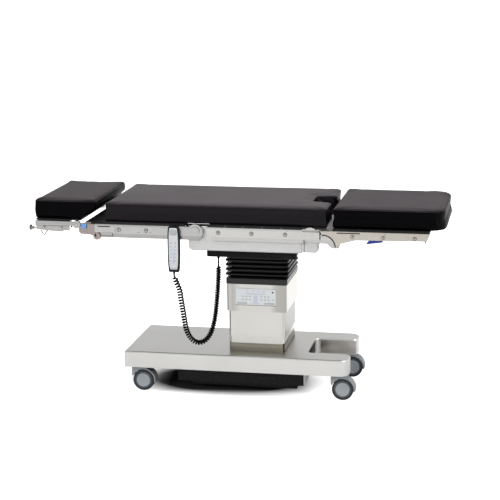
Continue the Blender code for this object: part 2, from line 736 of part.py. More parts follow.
def make_base():
    """The sheet cover, the cast chassis inside it, and the underbody."""
    outline = base_outline()
    edge = BASE_EDGE_RADIUS
    levels = (
        (BASE_BOTTOM_Z, 0.0),
        (BASE_TOP_Z - edge, 0.0),
        (BASE_TOP_Z - edge * (1.0 - math.sin(math.pi / 4.0)), edge * (1.0 - math.cos(math.pi / 4.0))),
        (BASE_TOP_Z, edge),
    )
    rings = []
    for height, inset in levels:
        rings.append([(u, v, height) for u, v in inset_outline(outline, inset)])
    cover = loft("base_cover", "satin_steel", rings)
    inside = inset_outline(outline, COVER_WALL)
    hollow = prism(
        "hollow", "satin_steel", inside, "Z", BASE_BOTTOM_Z - COVER_WALL, BASE_TOP_Z - COVER_WALL
    )
    cut(cover, hollow)
    frame_outline = inset_outline(outline, COVER_WALL + TOUCH_GAP)
    frame_top = BASE_TOP_Z - COVER_WALL - TOUCH_GAP
    chassis = prism("base_chassis", "black_metal", frame_outline, "Z", BASE_BOTTOM_Z, frame_top)
    for wheel_x in (WHEEL_HEAD_X, WHEEL_FOOT_X):
        for side in (-1.0, 1.0):
            spot = (wheel_x - CASTER_TRAIL, side * CASTER_Y, 0.0)
            bore_radius = STEM_RADIUS + TOUCH_GAP
            low = BASE_BOTTOM_Z - COVER_WALL
            high = STEM_TOP_Z + TOUCH_GAP
            cut(chassis, disc("bore", "black_metal", bore_radius, "Z", low, high, spot))
    top = BASE_BOTTOM_Z - TOUCH_GAP
    half = UNDERBODY_HALF_WIDTH
    box = rectangle(UNDERBODY_LEFT_X, UNDERBODY_RIGHT_X, -half, half, BASE_EDGE_RADIUS)
    housing = prism("underbody_housing", "black_metal", box, "Z", UNDERBODY_STEP_Z, top)
    corners = (
        (UNDERBODY_LEFT_X + UNDERBODY_STEP_X, UNDERBODY_STEP_Z + COVER_WALL),
        (UNDERBODY_LEFT_X + 2.0 * UNDERBODY_STEP_X, UNDERBODY_BOTTOM_Z),
        (UNDERBODY_RIGHT_X - UNDERBODY_STEP_X, UNDERBODY_BOTTOM_Z),
        (UNDERBODY_RIGHT_X - UNDERBODY_STEP_X, UNDERBODY_STEP_Z + COVER_WALL),
    )
    half = UNDERBODY_SUMP_HALF_WIDTH
    join(housing, prism("sump", "black_metal", corners, "Y", -half, half, BASE_EDGE_RADIUS))
    left = UNDERBODY_RIGHT_X + TOUCH_GAP
    half = UNDERBODY_HALF_WIDTH - BASE_EDGE_RADIUS
    plate = rectangle(-half, half, UNDERBODY_STEP_Z, top, 0.0)
    prism("underbody_end_plate", "satin_steel", plate, "X", left, left + END_PLATE_THICKNESS)


# Casters
def make_caster(tag, wheel_x, side):
    """A twin wheel caster: swivelling hood, tyres on one sleeve, and a capped axle."""
    y = side * CASTER_Y
    centre = (wheel_x, y, WHEEL_RADIUS)
    half = WHEEL_HALF_WIDTH
    radius = WHEEL_RADIUS
    chamfer = TREAD_CHAMFER
    bore = CAP_RADIUS + TOUCH_GAP
    axle = AXLE_RADIUS + TOUCH_GAP
    side_profile = (
        (bore, CAP_RECESS),
        (bore, half - chamfer / 2.0),
        (radius - chamfer, half),
        (radius, half - chamfer),
        (radius, TREAD_INNER_OFFSET),
        (SLEEVE_RADIUS, TREAD_INNER_OFFSET),
    )
    profile = [(axle, CAP_RECESS)] + list(side_profile)
    profile += [(r, -a) for r, a in reversed(side_profile)] + [(axle, -CAP_RECESS)]
    lathe("caster_tyres_" + tag, "grey_rubber", profile, centre, "Y")
    seat = CAP_RECESS + TOUCH_GAP
    cap_edge = CAP_EDGE
    outer = half + CAP_PROUD
    half_hub = (
        (0.0, outer),
        (CAP_RADIUS - cap_edge, outer),
        (CAP_RADIUS, outer - cap_edge),
        (CAP_RADIUS, seat),
        (AXLE_RADIUS, seat),
    )
    hub = list(half_hub) + [(r, -a) for r, a in reversed(half_hub)]
    lathe("caster_hub_" + tag, "light_plastic", hub, centre, "Y")
    inner = radius + HOOD_CLEARANCE
    shell = inner + HOOD_WALL
    top = BASE_BOTTOM_Z - TOUCH_GAP
    outline = arc(wheel_x, radius, shell, HOOD_SHOULDER_ANGLE, HOOD_START_ANGLE, HOOD_STEPS // 2)
    outline += arc(wheel_x, radius, inner, HOOD_START_ANGLE, HOOD_END_ANGLE, HOOD_STEPS)
    outline += [
        (wheel_x - HOOD_BACK_X, HOOD_BACK_Z), (wheel_x - HOOD_BACK_X, top), (wheel_x + HOOD_FRONT_X, top)
    ]
    low, high = y - HOOD_HALF_WIDTH, y + HOOD_HALF_WIDTH
    hood = prism("caster_hood_" + tag, "grey_plastic", outline, "Y", low, high)
    roof = radius + inner + HOOD_WALL / 2.0
    web_outline = [(wheel_x + WEB_HALF_LENGTH, roof), (wheel_x - WEB_HALF_LENGTH, roof)]
    web_outline += arc(wheel_x, radius, WEB_HALF_LENGTH, 180.0, 360.0, HOOD_STEPS // 2)
    web = prism("web", "grey_plastic", web_outline, "Y", y - WEB_HALF_WIDTH, y + WEB_HALF_WIDTH)
    join(hood, web)
    sleeve = SLEEVE_RADIUS + TOUCH_GAP
    cut(hood, disc("bore", "grey_plastic", sleeve, "Y", -half, half, centre))
    spot = (wheel_x - CASTER_TRAIL, y, 0.0)
    join(hood, disc("stem", "grey_plastic", STEM_RADIUS, "Z", top - HOOD_WALL, STEM_TOP_Z, spot))


# Column
def shell(name, kind, half_x, half_y, low, high, wall, radius):
    """An upright rectangular tube, open at both ends."""
    outline = rectangle(-half_x, half_x, -half_y, half_y, radius, TUBE_CORNER_STEPS)
    piece = prism(name, kind, outline, "Z", low, high)
    core = inset_outline(outline, wall)
    return cut(piece, prism("core", kind, core, "Z", low - wall, high + wall))


def make_column():
    """Three telescoping shrouds with the square guide tubes inside them."""
    low = BASE_TOP_Z + TOUCH_GAP
    corner = SHROUD_CORNER_RADIUS
    outline = rectangle(-FOOT_HALF_X, FOOT_HALF_X, -FOOT_HALF_Y, FOOT_HALF_Y, corner)
    levels = (
        (low, -FOOT_FLANGE_PROUD),
        (FOOT_FLANGE_Z, -FOOT_FLANGE_PROUD),
        (FOOT_FLANGE_Z, FOOT_BAND_INSET),
        (FOOT_BAND_Z, FOOT_BAND_INSET),
        (FOOT_BAND_Z, 0.0),
        (FOOT_TOP_Z, 0.0),
    )
    rings = []
    for height, inset in levels:
        rings.append([(u, v, height) for u, v in inset_outline(outline, inset)])
    foot = loft("column_foot", "satin_steel", rings)
    core = inset_outline(outline, FOOT_BAND_INSET + SHROUD_WALL)
    cut(foot, prism("core", "satin_steel", core, "Z", low - SHROUD_WALL, FOOT_TOP_Z + SHROUD_WALL))
    guide = GUIDE_CORNER_RADIUS
    half = GUIDE_LOWER_HALF
    shell("guide_tube_lower", "polished_steel", half, half, low, GUIDE_LOWER_TOP_Z, GUIDE_WALL, guide)
    wall = SHROUD_WALL
    shell(
        "shroud_middle",
        "satin_steel",
        MIDDLE_HALF_X,
        MIDDLE_HALF_Y,
        MIDDLE_BOTTOM_Z,
        MIDDLE_TOP_Z,
        wall,
        corner,
    )
    half = GUIDE_MIDDLE_HALF
    middle = shell(
        "guide_tube_middle",
        "polished_steel",
        half,
        half,
        GUIDE_MIDDLE_BOTTOM_Z,
        GUIDE_MIDDLE_TOP_Z,
        GUIDE_WALL,
        guide,
    )
    reach_x = MIDDLE_HALF_X - wall - TOUCH_GAP
    reach_y = MIDDLE_HALF_Y - wall - TOUCH_GAP
    inner = GUIDE_MIDDLE_HALF - GUIDE_WALL / 2.0
    high = GUIDE_MIDDLE_TOP_Z
    plan = rectangle(-reach_x, reach_x, -reach_y, reach_y, corner)
    spider = prism("spider", "polished_steel", plan, "Z", high - SPIDER_THICKNESS, high)
    cut(
        spider,
        prism("port", "polished_steel", rectangle(-inner, inner, -inner, inner, 0.0), "Z", 0.0, 1.0),
    )
    join(middle, spider)
    shell(
        "shroud_upper",
        "satin_steel",
        UPPER_HALF_X,
        UPPER_HALF_Y,
        UPPER_BOTTOM_Z,
        UPPER_TOP_Z,
        wall,
        corner,
    )
    proud = COLLAR_PROUD
    plan = rectangle(
        -UPPER_HALF_X - proud,
        UPPER_HALF_X + proud,
        -UPPER_HALF_Y - proud,
        UPPER_HALF_Y + proud,
        corner + proud,
    )
    low = UPPER_TOP_Z + TOUCH_GAP
    collar = prism("shroud_collar", "black_rubber", plan, "Z", low, COLLAR_TOP_Z, COLLAR_PROUD / 2.0)
    room = inset_outline(plan, COLLAR_WALL)
    roof = COLLAR_TOP_Z - COLLAR_ROOF
    cut(collar, prism("room", "black_rubber", room, "Z", low - COLLAR_WALL, roof))
    port = rectangle(-COLLAR_PORT, COLLAR_PORT, -COLLAR_PORT, COLLAR_PORT, 0.0)
    cut(collar, prism("port", "black_rubber", port, "Z", low, COLLAR_TOP_Z + COLLAR_WALL))
    seat = roof - TOUCH_GAP
    half = GUIDE_UPPER_HALF
    post = shell(
        "guide_tube_upper", "polished_steel", half, half, GUIDE_UPPER_BOTTOM_Z, seat, GUIDE_WALL, guide
    )
    plate = inset_outline(plan, COLLAR_WALL + TOUCH_GAP)
    join(post, prism("plate", "polished_steel", plate, "Z", seat - SPIDER_THICKNESS, seat))
    for side in (-1.0, 1.0):
        lug = [(-YOKE_FOOT, seat - SPIDER_THICKNESS / 2.0), (YOKE_FOOT, seat - SPIDER_THICKNESS / 2.0)]
        lug += arc(0.0, TILT_Z, YOKE_ROUND, 0.0, 180.0, CORNER_STEPS * 2)
        join(post, prism("lug", "polished_steel", lug, "Y", side * YOKE_INNER_Y, side * YOKE_OUTER_Y))
    bore = CROSS_SHAFT_RADIUS + TOUCH_GAP
    cut(post, disc("bore", "polished_steel", bore, "Y", -COLLAR_PORT, COLLAR_PORT, (0.0, 0.0, TILT_Z)))
    front = -UPPER_HALF_Y - TOUCH_GAP
    face = rectangle(PANEL_LEFT_X, PANEL_RIGHT_X, PANEL_BOTTOM_Z, PANEL_TOP_Z, PANEL_CORNER_RADIUS)
    levels = ((front, 0.0), (front - PANEL_DEPTH + PANEL_EDGE, 0.0), (front - PANEL_DEPTH, PANEL_EDGE))
    rings = []
    for along, inset in levels:
        rings.append([(u, along, v) for u, v in inset_outline(face, inset)])
    loft("control_panel", "light_plastic", rings)


def make_bellows():
    """The folded skirt between the collar and the carriage."""
    low = COLLAR_TOP_Z + TOUCH_GAP
    high = CARRIAGE_BOTTOM_Z - TOUCH_GAP
    depth = BELLOWS_FOLD_DEPTH
    levels = [(low, depth / 2.0)]
    for k in range(BELLOWS_FOLDS):
        height = BELLOWS_FIRST_FOLD_Z + k * BELLOWS_FOLD_PITCH
        levels.append((height - BELLOWS_FOLD_PITCH / 2.0, depth))
        levels.append((height - BELLOWS_FOLD_FLAT, 0.0))
        levels.append((height + BELLOWS_FOLD_FLAT, 0.0))
    levels.append((high - BELLOWS_FLANGE, depth))
    levels.append((high, depth))
    half_x = BELLOWS_HALF_X
    half_y = BELLOWS_HALF_Y
    form = bmesh.new()
    rows = []
    for wall, order in ((0.0, levels), (BELLOWS_WALL, list(reversed(levels)))):
        for height, inset in order:
            reach_x = half_x - inset - wall
            reach_y = half_y - inset - wall
            plan = rectangle(
                -reach_x, reach_x, -reach_y, reach_y, BELLOWS_CORNER_RADIUS, TUBE_CORNER_STEPS
            )
            rows.append([form.verts.new((u, v, height)) for u, v in plan])
    count = len(rows[0])
    for bottom, top in zip(rows, rows[1:] + rows[:1]):
        for i in range(count):
            j = (i + 1) % count
            form.faces.new((bottom[i], bottom[j], top[j], top[i]))
    add_piece("bellows", "black_rubber", form)


def make_tilt():
    """The cross that tilts on the column's yoke, and the head that tilts on the cross."""
    centre = (0.0, 0.0, TILT_Z)
    half_x = HEAD_LUG_INNER_X - TOUCH_GAP
    half_y = YOKE_INNER_Y - TOUCH_GAP
    block = rectangle(-half_x, half_x, -half_y, half_y, 0.0)
    low, high = TILT_Z - CROSS_HALF_HEIGHT, TILT_Z + CROSS_HALF_HEIGHT
    cross = prism("tilt_cross", "polished_steel", block, "Z", low, high, PANEL_EDGE)
    radius = CROSS_SHAFT_RADIUS
    join(cross, disc("shaft", "polished_steel", radius, "Y", -YOKE_OUTER_Y, YOKE_OUTER_Y, centre))
    join(cross, disc("shaft", "polished_steel", radius, "X", -HEAD_LUG_OUTER_X, HEAD_LUG_OUTER_X, centre))
    top = CARRIAGE_BOTTOM_Z - TOUCH_GAP
    plan = rectangle(
        -HEAD_PLATE_HALF_X, HEAD_PLATE_HALF_X, -HEAD_PLATE_HALF_Y, HEAD_PLATE_HALF_Y, GUIDE_CORNER_RADIUS
    )
    head = prism("tilt_head", "polished_steel", plan, "Z", HEAD_PLATE_BOTTOM_Z, top)
    for side in (-1.0, 1.0):
        lug = arc(0.0, TILT_Z, YOKE_ROUND, 180.0, 360.0, CORNER_STEPS * 2)
        middle = (HEAD_PLATE_BOTTOM_Z + top) / 2.0
        lug += [(YOKE_ROUND, middle), (-YOKE_ROUND, middle)]
        join(
            head,
            prism("lug", "polished_steel", lug, "X", side * HEAD_LUG_INNER_X, side * HEAD_LUG_OUTER_X),
        )
    bore = radius + TOUCH_GAP
    reach = HEAD_PLATE_HALF_X
    cut(head, disc("bore", "polished_steel", bore, "X", -reach, reach, centre))


# Seat section
def make_carriage():
    """The black carriage that slides on the tilt head, with the cord's gland."""
    plan = rectangle(
        CARRIAGE_LEFT_X,
        CARRIAGE_RIGHT_X,
        -CARRIAGE_HALF_WIDTH,
        CARRIAGE_HALF_WIDTH,
        CARRIAGE_CORNER_RADIUS,
    )
    carriage = prism("carriage_housing", "black_metal", plan, "Z", CARRIAGE_BOTTOM_Z, CARRIAGE_TOP_Z)
    near = -CARRIAGE_HALF_WIDTH
    flap = rectangle(CARRIAGE_RIGHT_X - APRON_LAP, APRON_RIGHT_X, near, near + APRON_DEPTH, 0.0)
    join(carriage, prism("apron", "black_metal", flap, "Z", CARRIAGE_BOTTOM_Z, CARRIAGE_TOP_Z))
    half = HOUSING_INNER_Y - TOUCH_GAP
    tray = rectangle(CARRIAGE_LEFT_X + TRAY_INSET, CARRIAGE_RIGHT_X, -half, half, CARRIAGE_CORNER_RADIUS)
    join(carriage, prism("tray", "black_metal", tray, "Z", CARRIAGE_TOP_Z - TRAY_INSET, TRAY_TOP_Z))
    top = CARRIAGE_BOTTOM_Z - TOUCH_GAP
    disc(
        "cord_gland", "black_rubber", GLAND_RADIUS, "Z", top - GLAND_LENGTH, top, (GLAND_X, GLAND_Y, 0.0)
    )


def rail_section():
    """Section of a side rail's outer bar, as (distance from the middle plane, height)."""
    band = RAIL_OUTER_Y - RAIL_BAND_DEPTH
    return (
        (RAIL_MID_Y, RAIL_BOTTOM_Z),
        (band, RAIL_BOTTOM_Z),
        (band, RAIL_FACE_LOW_Z),
        (RAIL_OUTER_Y, RAIL_FACE_LOW_Z),
        (RAIL_OUTER_Y, RAIL_FACE_HIGH_Z),
        (RAIL_OUTER_Y - RAIL_CHAMFER, RAIL_TOP_Z),
        (RAIL_MID_Y, RAIL_TOP_Z),
    )


def sided(section, side):
    """A section given as distances from the middle plane, put on one side."""
    return [(side * y, z) for y, z in section]


def screw_recess(rail, x, z, radius, side):
    """Sink a screw seat into a rail's face, leaving the screw's round head in it."""
    outer = RAIL_OUTER_Y
    centre = (x, 0.0, z)
    low, high = side * (outer - SCREW_RECESS), side * (outer + SCREW_RECESS)
    cut(rail, disc("seat", "satin_steel", radius, "Y", low, high, centre, SCREW_STEPS))


def side_tag(side):
    """The side's name: near is the control panel's side."""
    return "near" if side < 0.0 else "far"


def make_seat_side(side):
    """One side of the seat: housing, end block and rail."""
    tag = side_tag(side)
    top = RAIL_TOP_Z - TOUCH_GAP
    corners = (
        (HOUSING_LEFT_X, HOUSING_BOTTOM_Z),
        (HOUSING_RIGHT_X, HOUSING_BOTTOM_Z),
        (HOUSING_RIGHT_X, top),
        (HOUSING_LEFT_X, top),
    )
    outline = rounded(corners, (HOUSING_CORNER_RADIUS, 0.0, 0.0, 0.0))
    side_plate(
        "side_housing_" + tag,
        "white_metal",
        outline,
        side,
        HOUSING_INNER_Y,
        HOUSING_OUTER_Y,
        HOUSING_EDGE,
    )
    start = HOUSING_RIGHT_X + TOUCH_GAP
    corners = (
        (start, END_BLOCK_BOTTOM_Z),
        (END_BLOCK_RIGHT_X, END_BLOCK_BOTTOM_Z),
        (END_BLOCK_RIGHT_X, top),
        (start, top),
    )
    outline = rounded(corners, (0.0, END_BLOCK_CORNER_RADIUS, 0.0, 0.0))
    side_plate(
        "end_block_" + tag, "white_metal", outline, side, HOUSING_INNER_Y, HOUSING_OUTER_Y, HOUSING_EDGE
    )
    bar = sided(rail_section(), side)
    rail = prism("seat_rail_" + tag, "satin_steel", bar, "X", SEAT_RAIL_LEFT_X, SEAT_RAIL_RIGHT_X)
    lap = RAIL_CHAMFER / 2.0
    inside = (
        (RAIL_INNER_Y, RAIL_BOTTOM_Z),
        (RAIL_MID_Y + lap, RAIL_BOTTOM_Z),
        (RAIL_MID_Y + lap, RAIL_TOP_Z),
        (RAIL_INNER_Y, RAIL_TOP_Z),
    )
    join(
        rail, prism("inside", "satin_steel", sided(inside, side), "X", SEAT_RAIL_LEFT_X, SEAT_RAIL_STEP_X)
    )
    near, far = side * (RAIL_INNER_Y - RAIL_BAND_DEPTH), side * (RAIL_OUTER_Y + RAIL_BAND_DEPTH)
    slope = SEAT_RAIL_LEAN / (RAIL_TOP_Z - RAIL_BOTTOM_Z)
    over = RAIL_BAND_DEPTH
    wedge = [
        (SEAT_RAIL_LEFT_X - over, RAIL_BOTTOM_Z - over),
        (SEAT_RAIL_LEFT_X + SEAT_RAIL_LEAN + over * slope, RAIL_BOTTOM_Z - over),
        (SEAT_RAIL_LEFT_X - over * slope, RAIL_TOP_Z + over),
        (SEAT_RAIL_LEFT_X - over, RAIL_TOP_Z + over),
    ]
    cut(rail, prism("wedge", "satin_steel", wedge, "Y", near, far))
    end = SEAT_RAIL_RIGHT_X + over
    for low, high in ((RAIL_BOTTOM_Z - over, RAIL_FACE_LOW_Z), (RAIL_FACE_HIGH_Z, RAIL_TOP_Z + over)):
        band = rectangle(SEAT_RAIL_BAND_END_X, end, low, high, 0.0)
        cut(rail, prism("band", "satin_steel", band, "Y", near, far))
    for x in SEAT_SCREWS_X:
        screw_recess(rail, x, SCREW_Z, SCREW_RADIUS, side)


# Back section
def make_back_side(side):
    """One side of the back: rail with its hinge disc, head bracket and release button."""
    tag = side_tag(side)
    bar = sided(rail_section(), side)
    rail = prism("back_rail_" + tag, "satin_steel", bar, "X", BACK_RAIL_LEFT_X, BACK_HINGE_X)
    lap = RAIL_CHAMFER / 2.0
    inside = (
        (RAIL_INNER_Y, RAIL_BOTTOM_Z),
        (RAIL_MID_Y + lap, RAIL_BOTTOM_Z),
        (RAIL_MID_Y + lap, RAIL_TOP_Z),
        (RAIL_INNER_Y, RAIL_TOP_Z),
    )
    join(rail, prism("inside", "satin_steel", sided(inside, side), "X", BACK_RAIL_INNER_X, BACK_HINGE_X))
    centre = (BACK_HINGE_X, 0.0, HINGE_Z)
    low, high = side * RAIL_INNER_Y, side * (RAIL_OUTER_Y - RAIL_BAND_DEPTH)
    join(rail, disc("hinge", "satin_steel", HINGE_RADIUS, "Y", low, high, centre, HINGE_STEPS))
    nose_z = (RAIL_FACE_LOW_Z + RAIL_TOP_Z) / 2.0
    nose_radius = (RAIL_TOP_Z - RAIL_FACE_LOW_Z) / 2.0
    nose = (BACK_HINGE_X, 0.0, nose_z)
    join(rail, disc("nose", "satin_steel", nose_radius, "Y", high, side * RAIL_OUTER_Y, nose))
    for x in BACK_SCREWS_X:
        screw_recess(rail, x, SCREW_Z, SCREW_RADIUS, side)
    notch = rectangle(
        BACK_RAIL_LEFT_X - RAIL_CHAMFER, NOTCH_RIGHT_X, RAIL_BOTTOM_Z - RAIL_CHAMFER, NOTCH_TOP_Z, 0.0
    )
    cut(
        rail,
        prism("notch", "satin_steel", notch, "Y", side * RAIL_INNER_Y, side * (RAIL_OUTER_Y + SLOT_DEPTH)),
    )
    slot = rectangle(SLOT_LEFT_X, SLOT_RIGHT_X, RAIL_FACE_HIGH_Z - SLOT_HEIGHT, RAIL_FACE_HIGH_Z, 0.0)
    deep = side * (RAIL_OUTER_Y - SLOT_DEPTH)
    cut(rail, prism("slot", "satin_steel", slot, "Y", deep, side * (RAIL_OUTER_Y + SLOT_DEPTH)))
    seam = rectangle(
        COUPLING_RIGHT_X - RUN_GAP,
        COUPLING_RIGHT_X,
        RAIL_BOTTOM_Z - COUPLING_DROP,
        RAIL_TOP_Z + COUPLING_DROP,
        0.0,
    )
    cut(rail, prism("seam", "satin_steel", seam, "Y", deep, side * (RAIL_OUTER_Y + SLOT_DEPTH)))
    make_head_bracket(side)


def make_head_bracket(side):
    """The bracket that carries the head section's hinge, with its sprung button."""
    tag = side_tag(side)
    right = BACK_RAIL_INNER_X - TOUCH_GAP
    top = RAIL_TOP_Z - TOUCH_GAP
    outline = [
        (BRACKET_LEFT_X, BRACKET_STEP_Z), (BRACKET_STEP_X, BRACKET_LOW_Z), (BRACKET_NECK_X, BRACKET_LOW_Z)
    ]
    outline += arc(BRACKET_LUG_X, BRACKET_LUG_Z, BRACKET_LUG_RADIUS, 180.0, 330.0, CORNER_STEPS * 2)
    outline += [
        (right, RAIL_FACE_LOW_Z),
        (right, top),
        (BRACKET_DIP_X, top),
        (BRACKET_DIP_X - COUPLING_DROP, BRACKET_TOP_Z),
        (BRACKET_TOP_X, BRACKET_TOP_Z),
        (BRACKET_LEFT_X, HEAD_HINGE_Z),
    ]
    mid = RAIL_MID_Y - TOUCH_GAP
    bracket = prism(
        "head_bracket_" + tag, "polished_steel", outline, "Y", side * RAIL_INNER_Y, side * mid
    )
    boss_left = BUTTON_RIGHT_X + COUPLING_DROP
    boss_right = BACK_RAIL_LEFT_X - TOUCH_GAP
    boss = ((boss_left, BRACKET_LOW_Z), (boss_right, BRACKET_LOW_Z), (boss_right, top), (boss_left, top))
    proud = RAIL_OUTER_Y - RAIL_BAND_DEPTH
    lap = mid - TOUCH_GAP
    join(bracket, prism("boss", "polished_steel", boss, "Y", side * lap, side * proud, RUN_GAP))
    lug = (BRACKET_LUG_X, 0.0, BRACKET_LUG_Z)
    lug_radius = BRACKET_LUG_RADIUS - RUN_GAP
    join(bracket, disc("lug", "polished_steel", lug_radius, "Y", side * lap, side * proud, lug))
    bore_radius = COUPLING_DROP + RUN_GAP
    low, high = side * (proud - COUPLING_DROP), side * (proud + COUPLING_DROP)
    cut(bracket, disc("pin", "polished_steel", bore_radius, "Y", low, high, lug, SCREW_STEPS))
    room = TOUCH_GAP
    pocket = rectangle(
        BUTTON_LEFT_X - room,
        BUTTON_RIGHT_X + room,
        BUTTON_BOTTOM_Z - room,
        BUTTON_TOP_Z + room,
        BUTTON_CORNER_RADIUS,
    )
    cut(
        bracket,
        prism("pocket", "polished_steel", pocket, "Y", side * BUTTON_POCKET_Y, side * RAIL_OUTER_Y),
    )
    button = rectangle(BUTTON_LEFT_X, BUTTON_RIGHT_X, BUTTON_BOTTOM_Z, BUTTON_TOP_Z, BUTTON_CORNER_RADIUS)
    low, high = side * BUTTON_INNER_Y, side * BUTTON_OUTER_Y
    prism("head_release_button_" + tag, "blue_plastic", button, "Y", low, high, PANEL_EDGE)


# Leg section
def make_leg_side(side):
    """One side of the leg section: hinge bracket and tapering rail."""
    tag = side_tag(side)
    inner, mid, outer = side * RAIL_INNER_Y, side * (RAIL_MID_Y - TOUCH_GAP), side * RAIL_OUTER_Y
    centre = (LEG_HINGE_X, 0.0, LEG_HINGE_Z)
    name = "leg_bracket_" + tag
    bracket = disc(name, "satin_steel", LEG_HINGE_RADIUS, "Y", inner, mid, centre, HINGE_STEPS)
    low = LEG_BRACKET_BOTTOM_Z
    sole = [(LEG_LUG_HEEL_X, low), (LEG_LUG_LEFT_X, LEG_LUG_Z)]
    first = math.degrees(math.asin((LEG_LUG_Z - KNUCKLE_Z) / KNUCKLE_RADIUS))
    last = math.degrees(math.acos((LEG_BRACKET_LEFT_X - KNUCKLE_X) / KNUCKLE_RADIUS))
    curve = arc(KNUCKLE_X, KNUCKLE_Z, KNUCKLE_RADIUS, first, last, KNUCKLE_STEPS)
    knuckle = [(LEG_BRACKET_LEFT_X, low)] + sole + curve
    arm = [(LEG_HINGE_X, low)] + sole + curve + [(LEG_HINGE_X, curve[-1][1])]
    join(bracket, prism("arm", "satin_steel", arm, "Y", inner, mid))
    lap = side * (RAIL_MID_Y - RUN_GAP)
    front = prism("knuckle", "satin_steel", knuckle, "Y", lap, outer)
    clear = side * (RAIL_OUTER_Y + SLOT_DEPTH)
    cut(
        front,
        disc("sweep", "satin_steel", LEG_SWEEP_RADIUS, "Y", side * RAIL_INNER_Y, clear, centre, HINGE_STEPS),
    )
    join(bracket, front)
    top = LEG_RAIL_TOP_Z
    start = LEG_BRACKET_LEFT_X
    lug_x, lug_z = LEG_LUG_RIGHT_X - LEG_LUG_CORNER_RADIUS, LEG_LUG_Z + LEG_LUG_CORNER_RADIUS
    corners = arc(KNUCKLE_X, KNUCKLE_Z, KNUCKLE_RADIUS + TOUCH_GAP, last, first, KNUCKLE_STEPS)
    corners += arc(lug_x, lug_z, LEG_LUG_CORNER_RADIUS, 270.0, 335.0, CORNER_STEPS)
    corners += [
        (LEG_LUG_TOE_X, LEG_LUG_TOE_Z),
        (LEG_RAIL_NECK_X, LEG_RAIL_LEFT_Z),
        (LEG_RAIL_RIGHT_X - LEG_RAIL_SLANT, LEG_RAIL_RIGHT_Z),
        (LEG_RAIL_RIGHT_X, top - RAIL_CHAMFER),
        (LEG_RAIL_RIGHT_X, top),
        (start, top),
    ]
    rail = side_plate(
        "leg_rail_" + tag, "satin_steel", corners, side, RAIL_INNER_Y, RAIL_OUTER_Y, KNUCKLE_EDGE
    )
    cut(rail, disc("sweep", "satin_steel", LEG_SWEEP_RADIUS, "Y", 0.0, clear, centre, HINGE_STEPS))
    slot = rectangle(LEG_SLOT_LEFT_X, LEG_SLOT_RIGHT_X, LEG_SLOT_Z - SLOT_HEIGHT / 2.0, LEG_SLOT_Z, 0.0)
    deep, clear = side * (RAIL_OUTER_Y - SLOT_DEPTH), side * (RAIL_OUTER_Y + SLOT_DEPTH)
    cut(rail, prism("slot", "satin_steel", slot, "Y", deep, clear))
    for x in LEG_SCREWS_X:
        screw_recess(rail, x, SCREW_Z, LEG_SCREW_RADIUS, side)


def make_leg_lever():
    """The blue paddle under the near leg rail that frees the leg section."""
    corners = (
        (LEVER_TIP_X, LEVER_BOTTOM_Z),
        (LEVER_LEFT_X, LEVER_BOTTOM_Z),
        (LEVER_RIGHT_X - LEVER_TAPER, LEVER_HEEL_Z),
        (LEVER_RIGHT_X, LEVER_TOP_Z),
        (LEVER_LEFT_X, LEVER_TOP_Z),
    )
    prism("leg_release_lever", "blue_plastic", corners, "Y", -LEVER_OUTER_Y, -LEVER_INNER_Y, RUN_GAP)


